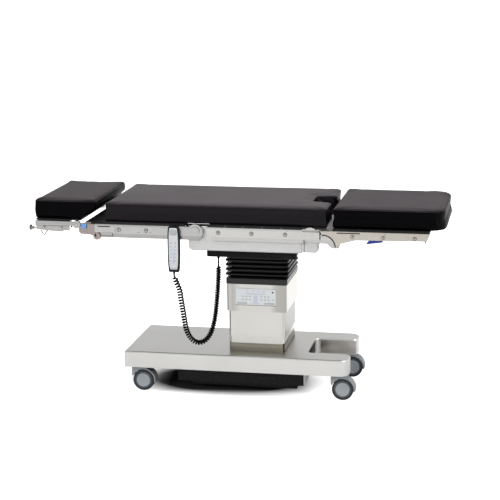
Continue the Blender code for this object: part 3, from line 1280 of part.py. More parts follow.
# Head section
def make_head_side(side):
    """One side of the head section: rail with hinge arm, ledge, clamp plate and knob."""
    tag = side_tag(side)
    mid = side * RAIL_MID_Y
    centre = (HEAD_HINGE_X, 0.0, HEAD_HINGE_Z)
    name = "head_rail_" + tag
    bar = rectangle(HEAD_RAIL_LEFT_X, HEAD_RAIL_RIGHT_X, HEAD_RAIL_BOTTOM_Z, HEAD_RAIL_TOP_Z, 0.0)
    rail = side_plate(name, "satin_steel", bar, side, RAIL_MID_Y, RAIL_OUTER_Y, RUN_GAP)
    neck_left, neck_right = HEAD_RAIL_RIGHT_X - HEAD_LAP, HEAD_HINGE_X + HEAD_LAP
    neck = rectangle(
        neck_left, neck_right, HEAD_RAIL_BOTTOM_Z + HEAD_LAP, HEAD_RAIL_TOP_Z - HEAD_LAP, 0.0
    )
    join(rail, prism("neck", "satin_steel", neck, "Y", mid, side * (RAIL_OUTER_Y - CLAMP_INSET)))
    join(
        rail,
        disc("hinge", "satin_steel", HEAD_ARM_RADIUS, "Y", mid, side * (RAIL_OUTER_Y - ARM_INSET), centre),
    )
    ledge = rectangle(
        HEAD_LEDGE_LEFT_X, HEAD_RAIL_RIGHT_X - ARM_INSET, HEAD_LEDGE_BOTTOM_Z, HEAD_RAIL_TOP_Z, 0.0
    )
    join(
        rail,
        prism("ledge", "satin_steel", ledge, "Y", side * HEAD_LEDGE_INNER_Y, side * (RAIL_MID_Y + HEAD_LAP)),
    )
    lap = HEAD_RAIL_BOTTOM_Z + HEAD_LAP
    plate = (
        (CLAMP_LEFT_X, CLAMP_LEFT_Z),
        (CLAMP_BEND_X, CLAMP_BEND_Z),
        (CLAMP_LOW_X, CLAMP_BOTTOM_Z),
        (CLAMP_STEP_X, CLAMP_STEP_Z),
        (CLAMP_RIGHT_X, CLAMP_RIGHT_Z),
        (CLAMP_RIGHT_X, lap),
        (CLAMP_LEFT_X, lap),
    )
    face = RAIL_OUTER_Y - CLAMP_INSET
    clamp = side_plate("clamp", "satin_steel", plate, side, RAIL_MID_Y, face, RUN_GAP)
    join(rail, clamp)
    for x in CLAMP_BOLTS_X:
        spot = (x, 0.0, CLAMP_BOLT_Z)
        low, high = side * (face - HEAD_LAP), side * (RAIL_OUTER_Y + CLAMP_BOLT_PROUD)
        join(rail, disc("bolt", "satin_steel", CLAMP_BOLT_RADIUS, "Y", low, high, spot, SCREW_STEPS))
    middle_y = side * (RAIL_OUTER_Y + RAIL_MID_Y) / 2.0
    spot = (0.0, middle_y, HEAD_KNOB_Z)
    end = HEAD_KNOB_LEFT_X + HEAD_KNOB_LENGTH
    profile = (
        (0.0, HEAD_KNOB_LEFT_X),
        (HEAD_KNOB_RADIUS - RUN_GAP, HEAD_KNOB_LEFT_X),
        (HEAD_KNOB_RADIUS, HEAD_KNOB_LEFT_X + RUN_GAP),
        (HEAD_KNOB_RADIUS, end),
        (KNOB_STEM_RADIUS, end),
        (KNOB_STEM_RADIUS, CLAMP_LEFT_X + HEAD_KNOB_RADIUS),
        (0.0, CLAMP_LEFT_X + HEAD_KNOB_RADIUS),
    )
    join(rail, lathe("knob", "satin_steel", profile, spot, "X", SCREW_STEPS))


def make_bail():
    """The wire bail under the near head rail."""
    y = BAIL_Y
    half = BAIL_HALF_LENGTH
    path = (
        (BAIL_X - half, y, BAIL_TOP_Z),
        (BAIL_X - half / 2.0, y, (BAIL_TOP_Z + BAIL_BOTTOM_Z) / 2.0),
        (BAIL_X, y, BAIL_BOTTOM_Z),
        (BAIL_X + half / 2.0, y, (BAIL_TOP_Z + BAIL_BOTTOM_Z) / 2.0),
        (BAIL_X + half, y, BAIL_TOP_Z),
    )
    tube("head_release_bail", "polished_steel", path, BAIL_WIRE_RADIUS, BAIL_SIDES)


# Boards and pads
def cutout_outline(margin, right):
    """Plan of the opening at the seat's foot end, wider by a margin."""
    narrow = CUTOUT_HALF_WIDTH + margin
    wide = CUTOUT_MOUTH_HALF_WIDTH + margin
    left = CUTOUT_LEFT_X - margin
    flare = (wide - narrow) * (right - SEAT_PAD_RIGHT_X) / (SEAT_PAD_RIGHT_X - CUTOUT_LEFT_X)
    corners = ((left, -narrow), (right, -wide - flare), (right, wide + flare), (left, narrow))
    radius = CUTOUT_CORNER_RADIUS
    return rounded(corners, (radius, 0.0, 0.0, radius))


def make_boards():
    """The dark boards that the pads lie on."""
    corner = BOARD_CORNER_RADIUS
    low = RAIL_TOP_Z + TOUCH_GAP
    wide, narrow = BOARD_HALF_WIDTH, SEAT_BOARD_STEP_HALF_WIDTH
    corners = (
        (SEAT_BOARD_LEFT_X, -wide),
        (SEAT_BOARD_STEP_X, -wide),
        (SEAT_BOARD_STEP_X, -narrow),
        (SEAT_BOARD_RIGHT_X, -narrow),
        (SEAT_BOARD_RIGHT_X, narrow),
        (SEAT_BOARD_STEP_X, narrow),
        (SEAT_BOARD_STEP_X, wide),
        (SEAT_BOARD_LEFT_X, wide),
    )
    seat = prism("seat_board", "black_board", corners, "Z", low, SEAT_BOARD_TOP_Z)
    notch = cutout_outline(BOARD_CUTOUT_MARGIN, SEAT_PAD_RIGHT_X + CUTOUT_OVERRUN)
    cut(seat, prism("notch", "black_board", notch, "Z", RAIL_BOTTOM_Z, PAD_TOP_Z))
    plan = rectangle(BACK_BOARD_LEFT_X, BACK_BOARD_RIGHT_X, -wide, wide, 0.0)
    back = prism("back_board", "black_board", plan, "Z", low, SEAT_BOARD_TOP_Z)
    bar = rectangle(CROSS_BAR_LEFT_X, CROSS_BAR_RIGHT_X, CROSS_BAR_BOTTOM_Z, CROSS_BAR_TOP_Z, RUN_GAP)
    half = CROSS_BAR_HALF_WIDTH
    join(back, prism("bar", "black_board", bar, "Y", -half, half))
    tongue = rectangle(
        CROSS_BAR_RIGHT_X - corner, BACK_BOARD_LEFT_X + corner, low, CROSS_BAR_TOP_Z - RUN_GAP, 0.0
    )
    join(back, prism("tongue", "black_board", tongue, "Y", -half + corner, half - corner))
    low = HEAD_RAIL_TOP_Z + TOUCH_GAP
    wide, narrow = HEAD_BOARD_HALF_WIDTH, HEAD_BOARD_STEP_HALF_WIDTH
    corners = (
        (HEAD_BOARD_LEFT_X, -wide),
        (HEAD_BOARD_STEP_X, -wide),
        (HEAD_BOARD_STEP_X, -narrow),
        (HEAD_BOARD_RIGHT_X, -narrow),
        (HEAD_BOARD_RIGHT_X, narrow),
        (HEAD_BOARD_STEP_X, narrow),
        (HEAD_BOARD_STEP_X, wide),
        (HEAD_BOARD_LEFT_X, wide),
    )
    outline = rounded(corners, (corner, 0.0, 0.0, 0.0, 0.0, 0.0, 0.0, corner))
    prism("head_board", "black_board", outline, "Z", low, HEAD_BOARD_TOP_Z)
    low = LEG_RAIL_TOP_Z + TOUCH_GAP
    wide = BOARD_HALF_WIDTH
    corners = (
        (LEG_BOARD_LEFT_X, -wide),
        (LEG_BOARD_RIGHT_X, -wide),
        (LEG_BOARD_RIGHT_X, wide),
        (LEG_BOARD_LEFT_X, wide),
    )
    end = LEG_BOARD_END_RADIUS
    prism(
        "leg_board",
        "black_board",
        rounded(corners, (0.0, end, end, 0.0), LEG_PAD_CORNER_STEPS),
        "Z",
        low,
        LEG_BOARD_TOP_Z,
    )


def pad_ring(x, half_width, bottom, inset):
    """Section of a pad at x: drawn-in sides, rounded edges and a slight crown."""
    wide = half_width - inset
    low = bottom + inset
    high = PAD_TOP_Z - inset
    edge = PAD_EDGE_RADIUS
    soft = edge * PAD_EDGE_SHARE
    shoulder = high - PAD_CROWN
    right = [
        (wide - soft, low),
        (wide, low + soft),
        (wide - PAD_SIDE_DRAW, (low + shoulder) / 2.0),
        (wide, shoulder - edge),
        (wide - soft, shoulder - soft),
        (wide - edge, shoulder),
        (wide / 2.0, high - PAD_CROWN * PAD_EDGE_SHARE),
    ]
    left = [(-y, z) for y, z in reversed(right)]
    return [(x, y, z) for y, z in right + [(0.0, high)] + left]


def soft_end(x, inward):
    """Stations that round a pad's end at x: (place, inset)."""
    edge = PAD_EDGE_RADIUS
    soft = edge * PAD_EDGE_SHARE
    return [(x, edge), (x + inward * soft, soft), (x + inward * edge, 0.0)]


def make_pads():
    """The four cushions and the strip that folds over the back hinge."""
    low = SEAT_BOARD_TOP_Z + TOUCH_GAP
    wide = PAD_HALF_WIDTH
    fold_left = BACK_HINGE_X - FOLD_HALF_LENGTH
    fold_right = BACK_HINGE_X + FOLD_HALF_LENGTH
    stations = soft_end(BACK_PAD_LEFT_X, 1.0) + [(fold_left - TOUCH_GAP, 0.0)]
    loft("back_pad", "black_vinyl", [pad_ring(x, wide, low, inset) for x, inset in stations])
    loft(
        "pad_fold",
        "black_vinyl",
        [pad_ring(x, wide, low, 0.0) for x in (fold_left, BACK_HINGE_X, fold_right)],
    )
    stations = [(fold_right + TOUCH_GAP, 0.0)] + list(reversed(soft_end(SEAT_PAD_RIGHT_X, -1.0)))
    seat = loft("seat_pad", "black_vinyl", [pad_ring(x, wide, low, inset) for x, inset in stations])
    notch = cutout_outline(0.0, SEAT_PAD_RIGHT_X + CUTOUT_OVERRUN)
    cut(seat, prism("notch", "black_vinyl", notch, "Z", RAIL_BOTTOM_Z, PAD_TOP_Z + CUTOUT_OVERRUN))
    low = LEG_BOARD_TOP_Z + TOUCH_GAP
    rings = [pad_ring(x, wide, low, inset) for x, inset in soft_end(LEG_PAD_LEFT_X, 1.0)]
    radius = LEG_PAD_CORNER_RADIUS
    turn = LEG_PAD_RIGHT_X - radius
    last = LEG_PAD_CORNER_STEPS
    for k in range(last):
        angle = 0.5 * math.pi * k / last
        rings.append(
            pad_ring(turn + radius * math.sin(angle), wide - radius * (1.0 - math.cos(angle)), low, 0.0)
        )
    narrow = wide - radius
    edge = PAD_EDGE_RADIUS
    rings.append(
        pad_ring(LEG_PAD_RIGHT_X - edge * PAD_EDGE_SHARE, narrow + edge, low, edge * PAD_EDGE_SHARE)
    )
    rings.append(pad_ring(LEG_PAD_RIGHT_X, narrow + edge, low, edge))
    loft("leg_pad", "black_vinyl", rings)
    make_head_pad()


def make_head_pad():
    """The head cushion, undercut towards its hinge and drawn in at the head end."""
    low = HEAD_BOARD_TOP_Z + TOUCH_GAP
    edge = PAD_EDGE_RADIUS
    soft = edge * PAD_EDGE_SHARE
    high = PAD_TOP_Z - PAD_CROWN
    left, right = HEAD_PAD_LEFT_X, HEAD_PAD_RIGHT_X
    outline = (
        (left + HEAD_PAD_LEFT_DRAW, low),
        (right - HEAD_PAD_UNDERCUT, low),
        (right - soft, HEAD_PAD_SHOULDER_Z + edge),
        (right, HEAD_PAD_SHOULDER_Z + edge * 2.0),
        (right, high - edge),
        (right - soft, high - soft),
        (right - edge, high),
        ((left + right) / 2.0, high),
        (left + edge, high),
        (left + soft, high - soft),
        (left, high - edge),
        (left, HEAD_PAD_SHOULDER_Z),
    )
    wide = PAD_HALF_WIDTH
    stations = ((-wide, edge), (-wide + soft, soft), (-wide + edge, 0.0), (-wide / 2.0, 0.0), (0.0, 0.0))
    stations += tuple((-y, inset) for y, inset in reversed(stations[:-1]))
    rings = []
    for y, inset in stations:
        lift = PAD_CROWN * (1.0 - (y / wide) ** 2)
        ring = []
        for x, z in inset_outline(outline, inset):
            ring.append((x, y, z + lift if z > (low + high) / 2.0 else z))
        rings.append(ring)
    loft("head_pad", "black_vinyl", rings)


# Handset and cord
def make_handset():
    """The hand control, hooked over the near back rail."""
    wide, foot = HANDSET_TOP_HALF, HANDSET_FOOT_HALF
    corners = (
        (HANDSET_X - foot, HANDSET_BOTTOM_Z),
        (HANDSET_X + foot, HANDSET_BOTTOM_Z),
        (HANDSET_X + wide, HANDSET_TAPER_Z),
        (HANDSET_X + wide, HANDSET_TOP_Z),
        (HANDSET_X - wide, HANDSET_TOP_Z),
        (HANDSET_X - wide, HANDSET_TAPER_Z),
    )
    radius = HANDSET_CORNER_RADIUS
    outline = rounded(corners, (radius, radius, radius, radius, radius, radius))
    body = prism("handset", "black_rubber", outline, "Y", -HANDSET_FRONT_Y, -HANDSET_BACK_Y, HANDSET_EDGE)
    half = HOOK_HALF_LENGTH
    low = RAIL_TOP_Z + HOOK_CLEARANCE
    hook = rectangle(HANDSET_X - half, HANDSET_X + half, low, HOOK_TOP_Z, 0.0)
    join(body, prism("hook", "black_rubber", hook, "Y", -HANDSET_BACK_Y - HANDSET_EDGE, -HOOK_INNER_Y))
    profile = (
        (0.0, HANDSET_BOTTOM_Z + RELIEF_OVERLAP),
        (RELIEF_RADIUS, HANDSET_BOTTOM_Z + RELIEF_OVERLAP),
        (RELIEF_TIP_RADIUS, HANDSET_BOTTOM_Z - RELIEF_LENGTH),
        (0.0, HANDSET_BOTTOM_Z - RELIEF_LENGTH),
    )
    join(body, lathe("relief", "black_rubber", profile, (RELIEF_X, RELIEF_Y, 0.0), "Z", SCREW_STEPS))


def smooth_path(points, steps):
    """A Catmull-Rom path through the points."""
    ends = [Vector(p) for p in points]
    ends = [ends[0] * 2.0 - ends[1]] + ends + [ends[-1] * 2.0 - ends[-2]]
    made = []
    for i in range(1, len(ends) - 2):
        a, b, c, d = ends[i - 1], ends[i], ends[i + 1], ends[i + 2]
        slope = c - a
        bend = 2.0 * a - 5.0 * b + 4.0 * c - d
        twist = 3.0 * b - a - 3.0 * c + d
        for k in range(steps):
            t = k / steps
            made.append(b + 0.5 * (slope * t + bend * t ** 2 + twist * t ** 3))
    made.append(ends[-2])
    return made


def cord_path():
    """The handset cord: a straight lead, the curls, and a straight lead up into the gland."""
    start = Vector((RELIEF_X, RELIEF_Y, HANDSET_BOTTOM_Z - RELIEF_LENGTH - TOUCH_GAP))
    end = Vector((GLAND_X, GLAND_Y, CARRIAGE_BOTTOM_Z - GLAND_LENGTH - 2.0 * TOUCH_GAP))
    down = Vector((0.0, 0.0, CORD_LEAD))
    drop = Vector((0.0, 0.0, GLAND_LEAD))
    route = smooth_path((tuple(start - down),) + CORD_ROUTE + (tuple(end - drop),), ROUTE_STEPS)
    lengths = [0.0]
    for a, b in zip(route, route[1:]):
        lengths.append(lengths[-1] + (b - a).length)
    total = lengths[-1]
    across = Vector((0.0, 1.0, 0.0))
    phase = 0.0
    step = 2.0 * math.pi / CURL_POINTS
    next_phase = 0.0
    made = [start, start - down * 0.5]
    for i in range(len(route) - 1):
        forward = (route[i + 1] - route[i]).normalized()
        across = (across - forward * across.dot(forward)).normalized()
        other = forward.cross(across)
        length = lengths[i + 1] - lengths[i]
        share = lengths[i] / total
        blend = (share - TIGHTEN_FROM_SHARE) / (TIGHTEN_TO_SHARE - TIGHTEN_FROM_SHARE)
        blend = min(max(blend, 0.0), 1.0)
        pitch = LOOSE_PITCH + (TIGHT_PITCH - LOOSE_PITCH) * blend * blend * (3.0 - 2.0 * blend)
        gain = 2.0 * math.pi * length / pitch
        while next_phase <= phase + gain:
            part = (next_phase - phase) / gain
            middle = route[i] + (route[i + 1] - route[i]) * part
            here = lengths[i] + length * part
            ramp = min(here / CORD_RAMP, (total - here) / CORD_RAMP, 1.0)
            swing = CORD_COIL_RADIUS * ramp * ramp * (3.0 - 2.0 * ramp)
            made.append(middle + swing * (math.cos(next_phase) * across + math.sin(next_phase) * other))
            next_phase += step
        phase += gain
    made += [end - drop * 0.5, end]
    return made


def least_gap(path, diameter, skip):
    """Least clear distance between far parts of the wire."""
    least = math.inf
    cell = diameter * CURL_POINTS
    grid = {}
    for i, point in enumerate(path):
        key = tuple(int(math.floor(value / cell)) for value in point)
        grid.setdefault(key, []).append(i)
    for i, point in enumerate(path[:-1]):
        key = [int(math.floor(value / cell)) for value in point]
        near = []
        for dx in (-1, 0, 1):
            for dy in (-1, 0, 1):
                for dz in (-1, 0, 1):
                    near += grid.get((key[0] + dx, key[1] + dy, key[2] + dz), [])
        for j in near:
            if j - i > skip and j < len(path) - 1:
                middle = (path[j] + path[j + 1]) / 2.0
                mine = (point + path[i + 1]) / 2.0
                for a in (point, mine):
                    for b in (path[j], middle):
                        least = min(least, (a - b).length - diameter)
    return least


def make_cord():
    """The curly cord as one unbroken tube."""
    path = cord_path()
    curls = len(path) / CURL_POINTS
    gap = least_gap(path, 2.0 * CORD_WIRE_RADIUS, CURL_POINTS // 2)
    print("handset cord: about", round(curls), "curls, least gap to itself", round(gap * 1000.0, 2), "mm")
    tube("handset_cord", "black_rubber", path, CORD_WIRE_RADIUS, CORD_SIDES)


# Placing
def joint_points():
    """Where each group of pieces turns or slides from, by the pieces' name parts."""
    points = {
        "head_rail": (HEAD_HINGE_X, 0.0, HEAD_HINGE_Z),
        "head_board": (HEAD_HINGE_X, 0.0, HEAD_HINGE_Z),
        "head_pad": (HEAD_HINGE_X, 0.0, HEAD_HINGE_Z),
        "head_release_bail": (BAIL_X, BAIL_Y, BAIL_TOP_Z),
        "back_": (BACK_HINGE_X, 0.0, HINGE_Z),
        "head_bracket": (BACK_HINGE_X, 0.0, HINGE_Z),
        "handset": (BACK_HINGE_X, 0.0, HINGE_Z),
        "leg_release_lever": (LEVER_LEFT_X, 0.0, LEVER_TOP_Z),
        "leg_": (LEG_HINGE_X, 0.0, LEG_HINGE_Z),
        "tilt_": (0.0, 0.0, TILT_Z),
    }
    for tag, wheel_x, side in casters():
        points["caster_hood_" + tag] = (wheel_x - CASTER_TRAIL, side * CASTER_Y, BASE_BOTTOM_Z)
        points["caster_tyres_" + tag] = (wheel_x, side * CASTER_Y, WHEEL_RADIUS)
        points["caster_hub_" + tag] = (wheel_x, side * CASTER_Y, WHEEL_RADIUS)
    return points


def casters():
    """The four casters: tag, wheel centre along X, side."""
    made = []
    for end, wheel_x in (("head", WHEEL_HEAD_X), ("foot", WHEEL_FOOT_X)):
        for side in (-1.0, 1.0):
            made.append((end + "_" + side_tag(side), wheel_x, side))
    return made


def settle():
    """Shift every piece to the table's middle, set its origin on its joint and shade it."""
    points = joint_points()
    for piece in bpy.data.objects:
        origin = Vector((0.0, 0.0, 0.0))
        for start in sorted(points, key=len):
            if piece.name.startswith(start):
                origin = Vector(points[start])
        shift = Vector((COLUMN_X, 0.0, 0.0))
        piece.data.transform(Matrix.Translation(-origin))
        piece.location = origin + shift
        piece.data.shade_smooth()
        piece.data.set_sharp_from_angle(angle=math.radians(SMOOTH_ANGLE))


def main():
    """Build the whole table."""
    clear_scene()
    make_base()
    for tag, wheel_x, side in casters():
        make_caster(tag, wheel_x, side)
    make_column()
    make_bellows()
    make_tilt()
    make_carriage()
    for side in (-1.0, 1.0):
        make_seat_side(side)
        make_back_side(side)
        make_leg_side(side)
        make_head_side(side)
    make_leg_lever()
    make_bail()
    make_boards()
    make_pads()
    make_handset()
    make_cord()
    settle()


main()
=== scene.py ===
"""Looks of the operating table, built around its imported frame.

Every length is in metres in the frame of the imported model: +X towards the leg section, -Y towards the
control panel's side, +Z up. Each sub-assembly is a class that holds its own sizes, builds its pieces and
dresses them.
"""

import logging
import math
from dataclasses import dataclass, field, replace
from enum import Enum
from typing import Callable, Iterable, Sequence

import bmesh
import bpy
from mathutils import Matrix, Vector
from mathutils.bvhtree import BVHTree


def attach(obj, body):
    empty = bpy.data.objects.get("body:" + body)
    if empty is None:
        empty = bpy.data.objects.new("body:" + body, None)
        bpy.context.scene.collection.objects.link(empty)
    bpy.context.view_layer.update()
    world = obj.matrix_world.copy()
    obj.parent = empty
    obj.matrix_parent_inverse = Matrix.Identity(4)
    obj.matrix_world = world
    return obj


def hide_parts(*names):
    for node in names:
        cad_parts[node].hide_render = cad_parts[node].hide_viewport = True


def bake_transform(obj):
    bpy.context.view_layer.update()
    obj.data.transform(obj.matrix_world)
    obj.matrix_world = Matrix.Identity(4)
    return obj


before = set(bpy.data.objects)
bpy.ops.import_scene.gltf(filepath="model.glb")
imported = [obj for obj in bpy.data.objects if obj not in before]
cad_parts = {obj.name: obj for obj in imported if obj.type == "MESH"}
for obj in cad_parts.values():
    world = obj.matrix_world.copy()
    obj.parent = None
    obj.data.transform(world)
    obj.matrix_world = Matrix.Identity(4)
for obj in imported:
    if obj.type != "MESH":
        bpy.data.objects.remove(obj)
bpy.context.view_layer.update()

Point = tuple[float, float, float]
Place = tuple[float, float]
log = logging.getLogger("operating_table")

COLUMN_X = 0.085
RAIL_FACE = 0.298
WHITE = (1.0, 1.0, 1.0, 1.0)

# Scales of the shared effects, in repeats per metre, and the depth of a full bump
TONE_SCALE = 3.5
WEAR_SCALE = 90.0
# The painted sheen on upward faces
SHEEN_SCALE = 6.0
BUMP_DEPTH = 0.0006

# The least share of an axis in a direction that runs along it, the most in one across it, the least in a
# normal that is square to it, and the distance within which points touch
ALONG = 0.9
ACROSS = 0.1
SQUARE = 0.99
TOUCH = 1e-5


# Node graphs
class Graph:
    """A node tree that is filled in with short calls."""

    def __init__(self, tree: bpy.types.NodeTree) -> None:
        """Keep the tree that nodes are added to."""
        self.tree = tree

    def add(self, kind: str, **settings: object) -> bpy.types.Node:
        """Add a node.

        Args:
            kind: The node's type, without the ShaderNode start.
            settings: Properties of the node.

        Returns:
            The new node.
        """
        node = self.tree.nodes.new("ShaderNode" + kind)
        for key, value in settings.items():
            setattr(node, key, value)
        return node

    def link(self, source: bpy.types.NodeSocket, target: bpy.types.NodeSocket) -> None:
        """Join an output to an input."""
        self.tree.links.new(source, target)

    def math(self, operation: str, first: object, second: object = 0.0) -> bpy.types.NodeSocket:
        """Add a Math node.

        Args:
            operation: The node's operation.
            first: A socket or a number.
            second: A socket or a number.

        Returns:
            The node's output.
        """
        node = self.add("Math", operation=operation)
        for socket, value in zip(node.inputs, (first, second)):
            if isinstance(value, bpy.types.NodeSocket):
                self.link(value, socket)
            else:
                socket.default_value = value
        return node.outputs[0]

    def noise(self, vector: bpy.types.NodeSocket, scale: float, detail: float) -> bpy.types.NodeSocket:
        """Add a noise texture and return its value output."""
        node = self.add("TexNoise")
        node.inputs["Scale"].default_value = scale
        node.inputs["Detail"].default_value = detail
        self.link(vector, node.inputs["Vector"])
        return node.outputs["Fac"]

    def spread(
        self, value: bpy.types.NodeSocket, start: float, end: float, low: object = 0.0, high: object = 1.0
    ) -> bpy.types.NodeSocket:
        """Map a value from start..end to low..high.

        Args:
            value: The value to map.
            start: Its low end.
            end: Its high end.
            low: What the low end becomes, a number or a socket.
            high: What the high end becomes, a number or a socket.

        Returns:
            The mapped value.
        """
        node = self.add("MapRange")
        self.link(value, node.inputs["Value"])
        for name, number in (("From Min", start), ("From Max", end), ("To Min", low), ("To Max", high)):
            if isinstance(number, bpy.types.NodeSocket):
                self.link(number, node.inputs[name])
            else:
                node.inputs[name].default_value = number
        return node.outputs["Result"]

    def blend(
        self, factor: object, first: object, second: object, how: str = "MIX"
    ) -> bpy.types.NodeSocket:
        """Mix two colours.

        Args:
            factor: The second colour's share, a socket or a number.
            first: A socket or an RGB triple.
            second: A socket or an RGB triple.
            how: The way to mix them.

        Returns:
            The colour output.
        """
        node = self.add("Mix", data_type="RGBA", blend_type=how)
        share = node.inputs["Factor"]
        if isinstance(factor, bpy.types.NodeSocket):
            self.link(factor, share)
        else:
            share.default_value = factor
        for name, value in (("A", first), ("B", second)):
            socket = [s for s in node.inputs if s.name == name and s.type == "RGBA"][0]
            if isinstance(value, bpy.types.NodeSocket):
                self.link(value, socket)
            else:
                socket.default_value = (*value, 1.0)
        return [s for s in node.outputs if s.type == "RGBA"][0]

    def place(self, output: str = "Object") -> bpy.types.NodeSocket:
        """Return a place on the surface, or in the sky, from a texture coordinate."""
        return self.add("TexCoord").outputs[output]

    def split(self, vector: bpy.types.NodeSocket) -> bpy.types.bpy_prop_collection:
        """Split a vector into its X, Y and Z outputs."""
        node = self.add("SeparateXYZ")
        self.link(vector, node.inputs[0])
        return node.outputs


class Effect(Enum):
    """Surface effects that several finishes share, each a node group."""

    TONE = "cloudy tone"
    BRUSH = "brushed grain"
    PEBBLE = "pebbled grain"
    WEAR = "edge wear"
    # Painted sheen: upward faces made lighter
    DUST = "settled dust"

    def group(self) -> bpy.types.NodeTree:
        """Return the effect's node group, made on its first use."""
        found = bpy.data.node_groups.get(self.value)
        if found is not None:
            return found
        tree = bpy.data.node_groups.new(self.value, "ShaderNodeTree")
        tree.interface.new_socket("Vector", in_out="INPUT", socket_type="NodeSocketVector")
        for name, value in (("Scale", 20.0), ("Low", 0.0), ("High", 1.0)):
            made = tree.interface.new_socket(name, in_out="INPUT", socket_type="NodeSocketFloat")
            made.default_value = value
        tree.interface.new_socket("Value", in_out="OUTPUT", socket_type="NodeSocketFloat")
        graph = Graph(tree)
        source = tree.nodes.new("NodeGroupInput")
        result = tree.nodes.new("NodeGroupOutput")
        scaled = graph.add("VectorMath", operation="SCALE")
        graph.link(source.outputs["Vector"], scaled.inputs[0])
        graph.link(source.outputs["Scale"], scaled.inputs["Scale"])
        value = self.pattern(graph, scaled.outputs[0])
        mapped = graph.spread(value, 0.0, 1.0, source.outputs["Low"], source.outputs["High"])
        graph.link(mapped, result.inputs["Value"])
        return tree

    def pattern(self, graph: Graph, vector: bpy.types.NodeSocket) -> bpy.types.NodeSocket:
        """Build the effect's own pattern.

        Args:
            graph: The group's graph.
            vector: The scaled place on the surface.

        Returns:
            A value from 0 to 1.
        """
        if self is Effect.TONE:
            return graph.spread(graph.noise(vector, 1.0, 3.0), 0.3, 0.7)
        if self is Effect.BRUSH:
            coarse = graph.noise(vector, 1.0, 4.0)
            fine = graph.noise(vector, 3.1, 2.0)
            return graph.math("MULTIPLY", graph.math("ADD", coarse, fine), 0.5)
        if self is Effect.PEBBLE:
            cells = graph.add("TexVoronoi", feature="SMOOTH_F1")
            cells.inputs["Scale"].default_value = 1.0
            graph.link(vector, cells.inputs["Vector"])
            fine = graph.math("MULTIPLY", graph.noise(vector, 2.3, 2.0), 0.4)
            return graph.math("ADD", graph.math("MULTIPLY", cells.outputs["Distance"], 0.8), fine)
        shape = graph.add("NewGeometry")
        if self is Effect.WEAR:
            edge = graph.spread(shape.outputs["Pointiness"], 0.51, 0.62)
            patches = graph.spread(graph.noise(vector, 1.0, 4.0), 0.35, 0.65, 0.2)
            return graph.math("MULTIPLY", edge, patches)
        # Painted sheen: lighter where a face looks up, in soft patches
        upward = graph.spread(graph.split(shape.outputs["Normal"])["Z"], 0.55, 1.0)
        patches = graph.spread(graph.noise(vector, 1.0, 5.0), 0.3, 0.7, 0.82)
        return graph.math("MULTIPLY", upward, patches)


class Surface(Enum):
    """How a finish is worked."""

    BRUSHED = "brushed"
    MACHINED = "machined"
    PAINTED = "painted"
    VINYL = "vinyl"
    RUBBER = "rubber"
    MOULDED = "moulded"


